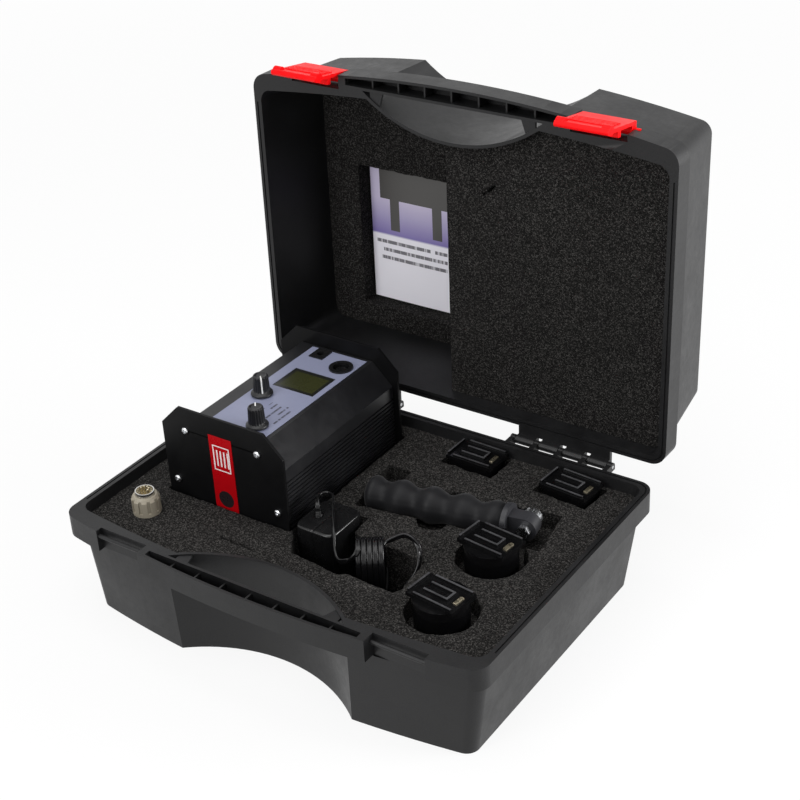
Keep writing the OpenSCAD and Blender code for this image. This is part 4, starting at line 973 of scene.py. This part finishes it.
class STROBE_OT_lid_foam(bpy.types.Operator):
    """Thick and thin foam of the lid, the thin one with its window for the booklet"""

    bl_idname = "strobe.lid_foam"
    bl_label = "Lid Foam"

    def execute(self, context):
        sizes = context.scene.strobe_foam
        wave = sizes.wave / MM

        def window(a, b):
            a, b = a + waves(b, a, wave), b + waves(a, b, wave)
            return [(box_distance(a, b, -137, -48, -26.5, 101), 3.05)]

        x, y, z, foot = foam_sheet(-11.0, inside(THICK_TOP, LID_H)[0], THICK_TOP, LID_FOOT, LID_H, sizes)
        thick = (*knife_slit(x, y, z, (21.0, -50.0), 15.0, np.radians(-42), 7.0), foot)
        x, y, z, foot = foam_sheet(-inside(THIN_TOP, LID_H)[0], -11.3, THIN_TOP, LID_FOOT, LID_H, sizes)
        thin = (*cut_surface(x, y, window, z, sizes), foot)
        for name, (x, y, z, foot), node in (("thick", thick, "right"), ("thin", thin, "left")):
            piece = make_piece(f"lid_foam_{name}", slab(lid_place(join(x, y, z)), lid_place(foot)),
                               "lid_foam", "lid", (f"lid_foam_{node}",), 50.0)
        return {"FINISHED"}


class STROBE_OT_booklet(bpy.types.Operator):
    """Booklet in the lid's window, its cover lifting a little at one corner"""

    bl_idname = "strobe.booklet"
    bl_label = "Booklet"

    def execute(self, context):
        u, v = np.meshgrid(np.linspace(0, 1, 36), np.linspace(0, 1, 48))
        x = -135.0 + 85.0 * u
        y = -23.5 + 122.5 * v
        # the cover bulges by sin(pi u)^2 near the spine and lifts at its free lower corner
        lift = np.clip(u - 0.6, 0, 1) ** 2 * np.clip(1 - v, 0, 1) ** 2
        z = 4.4 + 0.3 * np.sin(np.pi * u) ** 2 + 1.6 * lift
        surface = slab(lid_place(join(x, y, z)), lid_place(loop_of(join(x, y, 2.95))))
        mesh = make_piece("booklet_cover", surface, "booklet", "instructions", ("booklet",),
                          30.0).data
        # cover coordinates: u from the left edge, v from the lower edge of the open lid's booklet
        start = low("booklet")
        share = (surface[0] - start) / (high("booklet") - start)
        loops = np.zeros(len(mesh.loops), int)
        mesh.loops.foreach_get("vertex_index", loops)
        layer = mesh.uv_layers.new(name="Cover")
        layer.data.foreach_set("uv", share[loops][:, [0, 2]].ravel())
        return {"FINISHED"}


# Controls, grip and supply

# Radius and height of a knob's outline, from under its skirt to the middle of its cap
KNOB_PROFILE = np.array([
    [4.9, 0.2], [8.3, 0.0], [8.7, 0.25], [8.75, 0.7], [8.72, 1.3], [8.45, 1.75], [7.8, 2.3],
    [7.1, 2.7], [6.75, 3.0], [6.6, 3.5], [6.5, 4.5], [6.42, 6.5], [6.33, 8.5], [6.24, 10.5],
    [6.15, 12.5], [6.05, 14.5], [5.97, 15.4], [5.75, 16.0], [5.4, 16.35], [4.9, 16.5],
    [4.3, 16.4], [3.9, 16.1], [3.4, 16.0], [1.5, 16.0],
])
# Radius and height of the pointer line, over the cap and down the side
POINTER_PATH = np.array([[1.2, 16.15], [3.6, 16.2], [4.4, 16.65], [5.2, 16.65], [5.9, 16.15],
                         [6.3, 15.2], [6.5, 11.0], [6.75, 5.0], [6.95, 3.4]])
# Each knob, its place from the instrument's middle, its pointer's turn in degrees and its body
KNOBS = [("rate", -10.0, -12.0, -46.0, "rate_control"), ("mode", 16.5, -51.5, 130.0, "mode_control")]


class STROBE_OT_knobs(bpy.types.Operator):
    """Both control knobs: skirt, fluted body, dished cap and raised pointer line"""

    bl_idname = "strobe.knobs"
    bl_label = "Knobs"

    def execute(self, context):
        sizes = context.scene.strobe_controls
        radius, height = KNOB_PROFILE.T
        fluted = np.clip((height - 2.9) / 1.2, 0, 1) * np.clip((16.2 - height) / 0.8, 0, 1)
        fluted[radius < 5] = 0

        def flutes(angle, row):
            # r falls by depth (0.5 + 0.5 cos(n angle))^2 in the grooves
            groove = (0.5 + 0.5 * np.cos(sizes.flutes * angle)) ** 2
            return -sizes.flute_depth / MM * fluted[row] * groove

        # pointer: a thin bar along its path, rounded across, raised on the cap and outward on the side
        wide = sizes.pointer / MM / 2
        across = np.array([-wide, -0.6 * wide, 0.6 * wide, wide])
        crown = np.array([-0.25, 0.1, 0.1, -0.25])
        side = (POINTER_PATH[:, :1] > 5.5).astype(float)
        strip = join(POINTER_PATH[:, :1] + crown * side, across, POINTER_PATH[:, 1:] + crown * (1 - side))
        bar = np.concatenate([strip, strip[:, ::-1] - 0.5 * join(side, 0, 1 - side)], 1)
        for name, x, y, angle, body in KNOBS:
            turn = about_z(np.radians(angle))
            base = np.array([INST_X + x, INST_Y + y, KNOB_Z])
            make_piece(f"{name}_knob_moulding", tube(lathe(KNOB_PROFILE, 288, flutes), turn, base), "knob",
                       body, (f"{name}_knob",))
            make_piece(f"{name}_pointer", tube(bar, turn, base), "pointer", body, (), 35.0)
        return {"FINISHED"}


class STROBE_OT_grip(bpy.types.Operator):
    """Soft grip with four finger swells on one side and a rounded end"""

    bl_idname = "strobe.grip"
    bl_label = "Grip"

    def execute(self, context):
        lobe = context.scene.strobe_controls.lobe / MM
        length, cap = 114.0, 0.09
        t = np.concatenate([cap * (1 - np.cos(np.linspace(0.12, np.pi / 2, 14))),
                            np.linspace(0.094, 1, 120)])[:, None]
        round_end = np.where(t < cap, np.sqrt(np.maximum(1 - ((cap - t) / cap) ** 2, 0)), 1)
        angle = np.linspace(0, 2 * np.pi, 72, endpoint=False)
        # r = end (13.4 - 1.2 t + lobe cos(2 pi (4.5 t - 0.2)) (0.85 + 0.25 sin(angle))), less a seam
        swell = lobe * np.cos(2 * np.pi * (4.5 * t - 0.2)) * (0.85 + 0.25 * np.sin(angle))
        seam = -0.25 * np.exp(-(np.abs(np.sin(angle + 0.4)) / 0.05) ** 2)
        radius = round_end * (13.4 - 1.2 * t + swell + seam)
        rings = join(length * t, radius * np.cos(angle), radius * np.sin(angle))
        surface = tube(rings, about_z(GRIP_TURN), [GRIP_X, GRIP_Y, GRIP_Z])
        piece = make_piece("grip_moulding", surface, "grip", "handle", ("handle_grip",), 60.0)
        return {"FINISHED"}


class STROBE_OT_supply(bpy.types.Operator):
    """Two halves of the supply's case: rounded box, parted by a fine seam"""

    bl_idname = "strobe.supply"
    bl_label = "Supply Case"

    def execute(self, context):
        edge = context.scene.strobe_controls.supply_edge / MM
        start, end = low("supply_shell_left"), high("supply_shell_right")
        centre = (start + end) / 2
        half = (end - start) / 2
        # rings of a rounded rectangle, drawn in by edge - sqrt(edge^2 - d^2) near top and foot
        arc = np.linspace(0, np.pi / 2, 9)
        rise = edge * (1 - np.cos(arc))
        inset = edge * (1 - np.sin(arc))
        z = np.concatenate([-half[2] + rise, np.linspace(-half[2] + edge, half[2] - edge, 14)[1:-1],
                            half[2] - rise[::-1]])
        inward = np.concatenate([inset, np.zeros(12), inset[::-1]])[:, None]
        side = np.linspace(0, 2 * np.pi, 180, endpoint=False) + 0.004
        cos, sin = np.cos(side), np.sin(side)
        shape = (np.abs(cos) ** 6 + np.abs(sin) ** 6) ** (-1 / 6)
        ring_x = (half[0] - inward) * cos * shape
        ring_y = (half[1] - inward) * sin * shape
        # top and foot: the last ring shrunk in steps, the top one slightly crowned
        shrink = np.array([0.8, 0.6, 0.4, 0.2, 0.05])[:, None]
        ring_x = np.vstack([(ring_x[-1] * shrink)[::-1], ring_x, ring_x[-1] * shrink])
        ring_y = np.vstack([(ring_y[-1] * shrink)[::-1], ring_y, ring_y[-1] * shrink])
        crown = 0.25
        z = np.concatenate([np.full(5, z[0]), z, z[-1] - crown + crown * (1.1 - shrink[:, 0] ** 2)])
        z[-6] -= 0.02
        z = z[:, None]
        seam_gap, seam_width = 0.16, 0.9
        for sign, node in ((-1, "left"), (1, "right")):
            x = sign * np.maximum(sign * ring_x, seam_gap)
            seam = sign * ring_x < seam_width
            y = np.where(seam, ring_y * 0.985, ring_y)
            rings = join(x, y, np.where(seam, z - 0.25 * np.sign(z), z))
            make_piece(f"supply_half_{node}", tube(rings, None, centre), "supply", "supply",
                       (f"supply_shell_{node}",))
        return {"FINISHED"}


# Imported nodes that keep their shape: finish, nodes and width of their softened edges in millimetres

DRESSED = {
    "case": (("case_base", "case_lid"), 0.5),
    "latch": (("latch_left", "latch_right"), 0.6),
    "housing": (("housing",), 0.35),
    "plate": (("end_plate_left", "end_plate_right"), 0.35),
    "steel": (("end_plate_screws", "tilt_screw", "tilt_nut"), 0.2),
    "pin_steel": (("hinge_pins", "rate_shaft", "mode_shaft"), 0.2),
    "label": (("side_label",), 0.1),
    "panel": (("panel_label",), 0.1),
    "display": (("display_window",), 0.1),
    "component": (("display_module", "rate_encoder", "mode_switch", "driver_parts", "supply_board"), 0.2),
    "gloss": (("power_jack", "trigger_socket", "dc_plug"), 0.4),
    "green_board": (("control_board", "driver_board"), 0.1),
    "white_board": (("led_board",), 0.1),
    "brass": (("board_spacers", "handle_insert", "adapter_a_pins", "adapter_b_pins", "adapter_c_pins",
               "adapter_d_pins", "din_pins"), 0.2),
    "emitter": (("led_emitters",), 0.1),
    "clear": (("lens_array", "front_window"), 0.2),
    "aluminium": (("heat_spreader",), 0.2),
    "head": (("handle_head",), 0.8),
    "flat_adapter": (("adapter_a_body", "adapter_b_body"), 0.3),
    "round_adapter": (("adapter_c_body", "adapter_d_body"), 0.3),
    "shell_metal": (("din_shell",), 0.3),
    "ivory": (("din_ring",), 0.4),
}
WELD = 0.004
BEVEL_ANGLE = np.radians(34)
SHARP_ANGLE = np.radians(32)


def smooth_group():
    """Geometry nodes that shade all faces smooth and keep steep edges sharp."""
    tree = bpy.data.node_groups.new("Smooth by edge", "GeometryNodeTree")
    for way in ("INPUT", "OUTPUT"):
        tree.interface.new_socket(name="Geometry", in_out=way, socket_type="NodeSocketGeometry")
    start = made(tree, "NodeGroupInput", {})
    faces = made(tree, "GeometryNodeSetShadeSmooth", {"Geometry": start, "Shade Smooth": True},
                 domain="FACE")
    steep = made(tree, "FunctionNodeCompare",
                 {0: made(tree, "GeometryNodeInputMeshEdgeAngle", {}), 1: float(SHARP_ANGLE)},
                 operation="GREATER_THAN", data_type="FLOAT")
    edges = made(tree, "GeometryNodeSetShadeSmooth",
                 {"Geometry": faces, "Selection": steep, "Shade Smooth": False}, domain="EDGE")
    put(tree, "NodeGroupOutput", {0: edges})
    return tree


class STROBE_OT_dress(bpy.types.Operator):
    """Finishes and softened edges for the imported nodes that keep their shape"""

    bl_idname = "strobe.dress"
    bl_label = "Finishes"

    def execute(self, context):
        shading = smooth_group()
        for finish, (nodes, width) in DRESSED.items():
            for node in nodes:
                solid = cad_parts[node]
                if not solid.material_slots:
                    raise RuntimeError(f"{node} has no material slot")
                for part in solid.material_slots:
                    part.material = FINISHES[finish]
                weld = solid.modifiers.new("Weld", "WELD")
                weld.merge_threshold = WELD * MM
                bevel = solid.modifiers.new("Soft edges", "BEVEL")
                bevel.width = width * MM
                bevel.segments = 2
                bevel.limit_method = "ANGLE"
                bevel.angle_limit = BEVEL_ANGLE
                bevel.use_clamp_overlap = True
                smooth = solid.modifiers.new("Smooth", "NODES")
                smooth.node_group = shading
                even = solid.modifiers.new("Even shading", "WEIGHTED_NORMAL")
                even.keep_sharp = True
        return {"FINISHED"}


# Stage, in metres

# Azimuth, elevation and roll of the camera in degrees, its lens and where it stands
CAMERA_ANGLES = [35.6, 30.2, -3.34]
CAMERA_LENS = 72.94
CAMERA_EYE = [0.6215, -0.7988, 0.7616]
# Place of each lamp, what it points at, its size and its power in watts
LAMPS = {
    "Overhead softbox": ((0.0, -0.3, 1.7), (0.0, 0.0, 0.1), 1.4, 15.0),
    "Front softbox": ((-0.5, -1.9, 1.1), (0.0, 0.1, 0.15), 1.1, 18.0),
    "Right softbox": ((1.7, 0.9, 0.5), (0.15, 0.0, 0.12), 0.9, 42.0),
}
FLOOR_SPAN = 3000.0
FLOOR_DROP = 0.05


def plain_white(tree):
    """1 on camera, glossy and transmission rays, to which floor and surroundings are plain white."""
    path = put(tree, "ShaderNodeLightPath")
    camera, glossy, through = (Field(path.outputs[f"Is {ray} Ray"])
                               for ray in ("Camera", "Glossy", "Transmission"))
    return camera.most(glossy.most(through))


def emptied(owner):
    """Node tree of a material or world, without its first nodes."""
    owner.use_nodes = True
    owner.node_tree.nodes.clear()
    return owner.node_tree


def stand(thing, right, up, back, spot):
    """Gives a camera or lamp its axes and place."""
    thing.matrix_world = Matrix(np.vstack([np.stack([right, up, back, spot], -1), [0, 0, 0, 1]]))


class STROBE_OT_stage(bpy.types.Operator):
    """Camera, pale floor, white surroundings and soft lamps"""

    bl_idname = "strobe.stage"
    bl_label = "Stage"

    def execute(self, context):
        scene = context.scene
        scene.view_settings.view_transform = "Standard"
        a, e, r = np.radians(CAMERA_ANGLES)
        back = np.array([np.sin(a) * np.cos(e), -np.cos(a) * np.cos(e), np.sin(e)])
        level = np.array([np.cos(a), np.sin(a), 0])
        rise = np.cross(back, level)
        lens = bpy.data.cameras.new("Camera")
        lens.lens = CAMERA_LENS
        lens.sensor_width = 36.0
        lens.clip_end = 50.0
        scene.camera = add_object("Camera", lens)
        stand(scene.camera, level * np.cos(r) + rise * np.sin(r), rise * np.cos(r) - level * np.sin(r),
              back, CAMERA_EYE)

        # pale floor, whose share of plain white grows to 1 far from the set, so its edge doesn't show
        pale = bpy.data.materials.new("Floor")
        tree = emptied(pale)
        matt = made(tree, "ShaderNodeBsdfDiffuse", {"Color": (0.86, 0.86, 0.86)})
        glow = made(tree, "ShaderNodeEmission", {"Color": (1, 1, 1), "Strength": 1.0})
        away = made(tree, "ShaderNodeVectorMath", {0: place(tree)}, "Value", operation="LENGTH")
        white = plain_white(tree) * away.spread(0.7, 2.2, 0.86, 1.0)
        put(tree, "ShaderNodeOutputMaterial",
            {0: made(tree, "ShaderNodeMixShader", {0: white, 1: matt, 2: glow})})
        x, y = np.meshgrid(*[np.linspace(-FLOOR_SPAN, FLOOR_SPAN, 41)] * 2)
        floor = add_mesh("floor", join(x, y, -FLOOR_DROP).reshape(-1, 3),
                         grid_faces(41, 41)[:, ::-1].tolist(), pale)

        scene.world = bpy.data.worlds.new("Surroundings")
        tree = emptied(scene.world)
        soft, white = (made(tree, "ShaderNodeBackground", {"Color": (1, 1, 1), "Strength": strength})
                       for strength in (0.5, 1.0))
        put(tree, "ShaderNodeOutputWorld",
            {0: made(tree, "ShaderNodeMixShader", {0: plain_white(tree), 1: soft, 2: white})})

        for name, (spot, target, size, power) in LAMPS.items():
            lamp = bpy.data.lights.new(name, "AREA")
            lamp.shape = "SQUARE"
            lamp.size = size
            lamp.energy = power
            back = np.array(spot) - np.array(target)
            back /= np.linalg.norm(back)
            right = np.cross([0, 1, 0.01], back)
            right /= np.linalg.norm(right)
            stand(add_object(name, lamp), right, np.cross(back, right), back, spot)
        return {"FINISHED"}


class STROBE_PT_panel(bpy.types.Panel):
    """Buttons and sizes of the stroboscope set"""

    bl_idname = "STROBE_PT_panel"
    bl_label = "Stroboscope Set"
    bl_space_type = "VIEW_3D"
    bl_region_type = "UI"
    bl_category = "Stroboscope"

    def draw(self, context):
        for operator in OPERATORS:
            self.layout.operator(operator.bl_idname)
        for name, kind in GROUPS:
            box = self.layout.box()
            for key in kind.__annotations__:
                box.prop(getattr(context.scene, name), key)


OPERATORS = (STROBE_OT_stage, STROBE_OT_lead, STROBE_OT_lead_fittings, STROBE_OT_base_foam,
             STROBE_OT_lid_foam, STROBE_OT_booklet, STROBE_OT_knobs, STROBE_OT_grip, STROBE_OT_supply,
             STROBE_OT_dress)
GROUPS = (("strobe_lead", StrobeLeadSizes), ("strobe_foam", StrobeFoamSizes),
          ("strobe_controls", StrobeControlSizes), ("strobe_colours", StrobeColours))


def register():
    for name, kind in GROUPS:
        bpy.utils.register_class(kind)
        setattr(bpy.types.Scene, name, PointerProperty(type=kind))
    for kind in (*OPERATORS, STROBE_PT_panel):
        bpy.utils.register_class(kind)


def unregister():
    for kind in reversed((*OPERATORS, STROBE_PT_panel)):
        bpy.utils.unregister_class(kind)
    for name, kind in reversed(GROUPS):
        delattr(bpy.types.Scene, name)
        bpy.utils.unregister_class(kind)


def main():
    register()
    make_groups()
    FINISHES.update(make_finishes(bpy.context.scene.strobe_colours))
    bpy.ops.strobe.stage()
    bpy.ops.strobe.lead_fittings()
    bpy.ops.strobe.lead()
    bpy.ops.strobe.base_foam()
    bpy.ops.strobe.lid_foam()
    bpy.ops.strobe.booklet()
    bpy.ops.strobe.knobs()
    bpy.ops.strobe.grip()
    bpy.ops.strobe.supply()
    bpy.ops.strobe.dress()


if __name__ == "__main__":
    main()
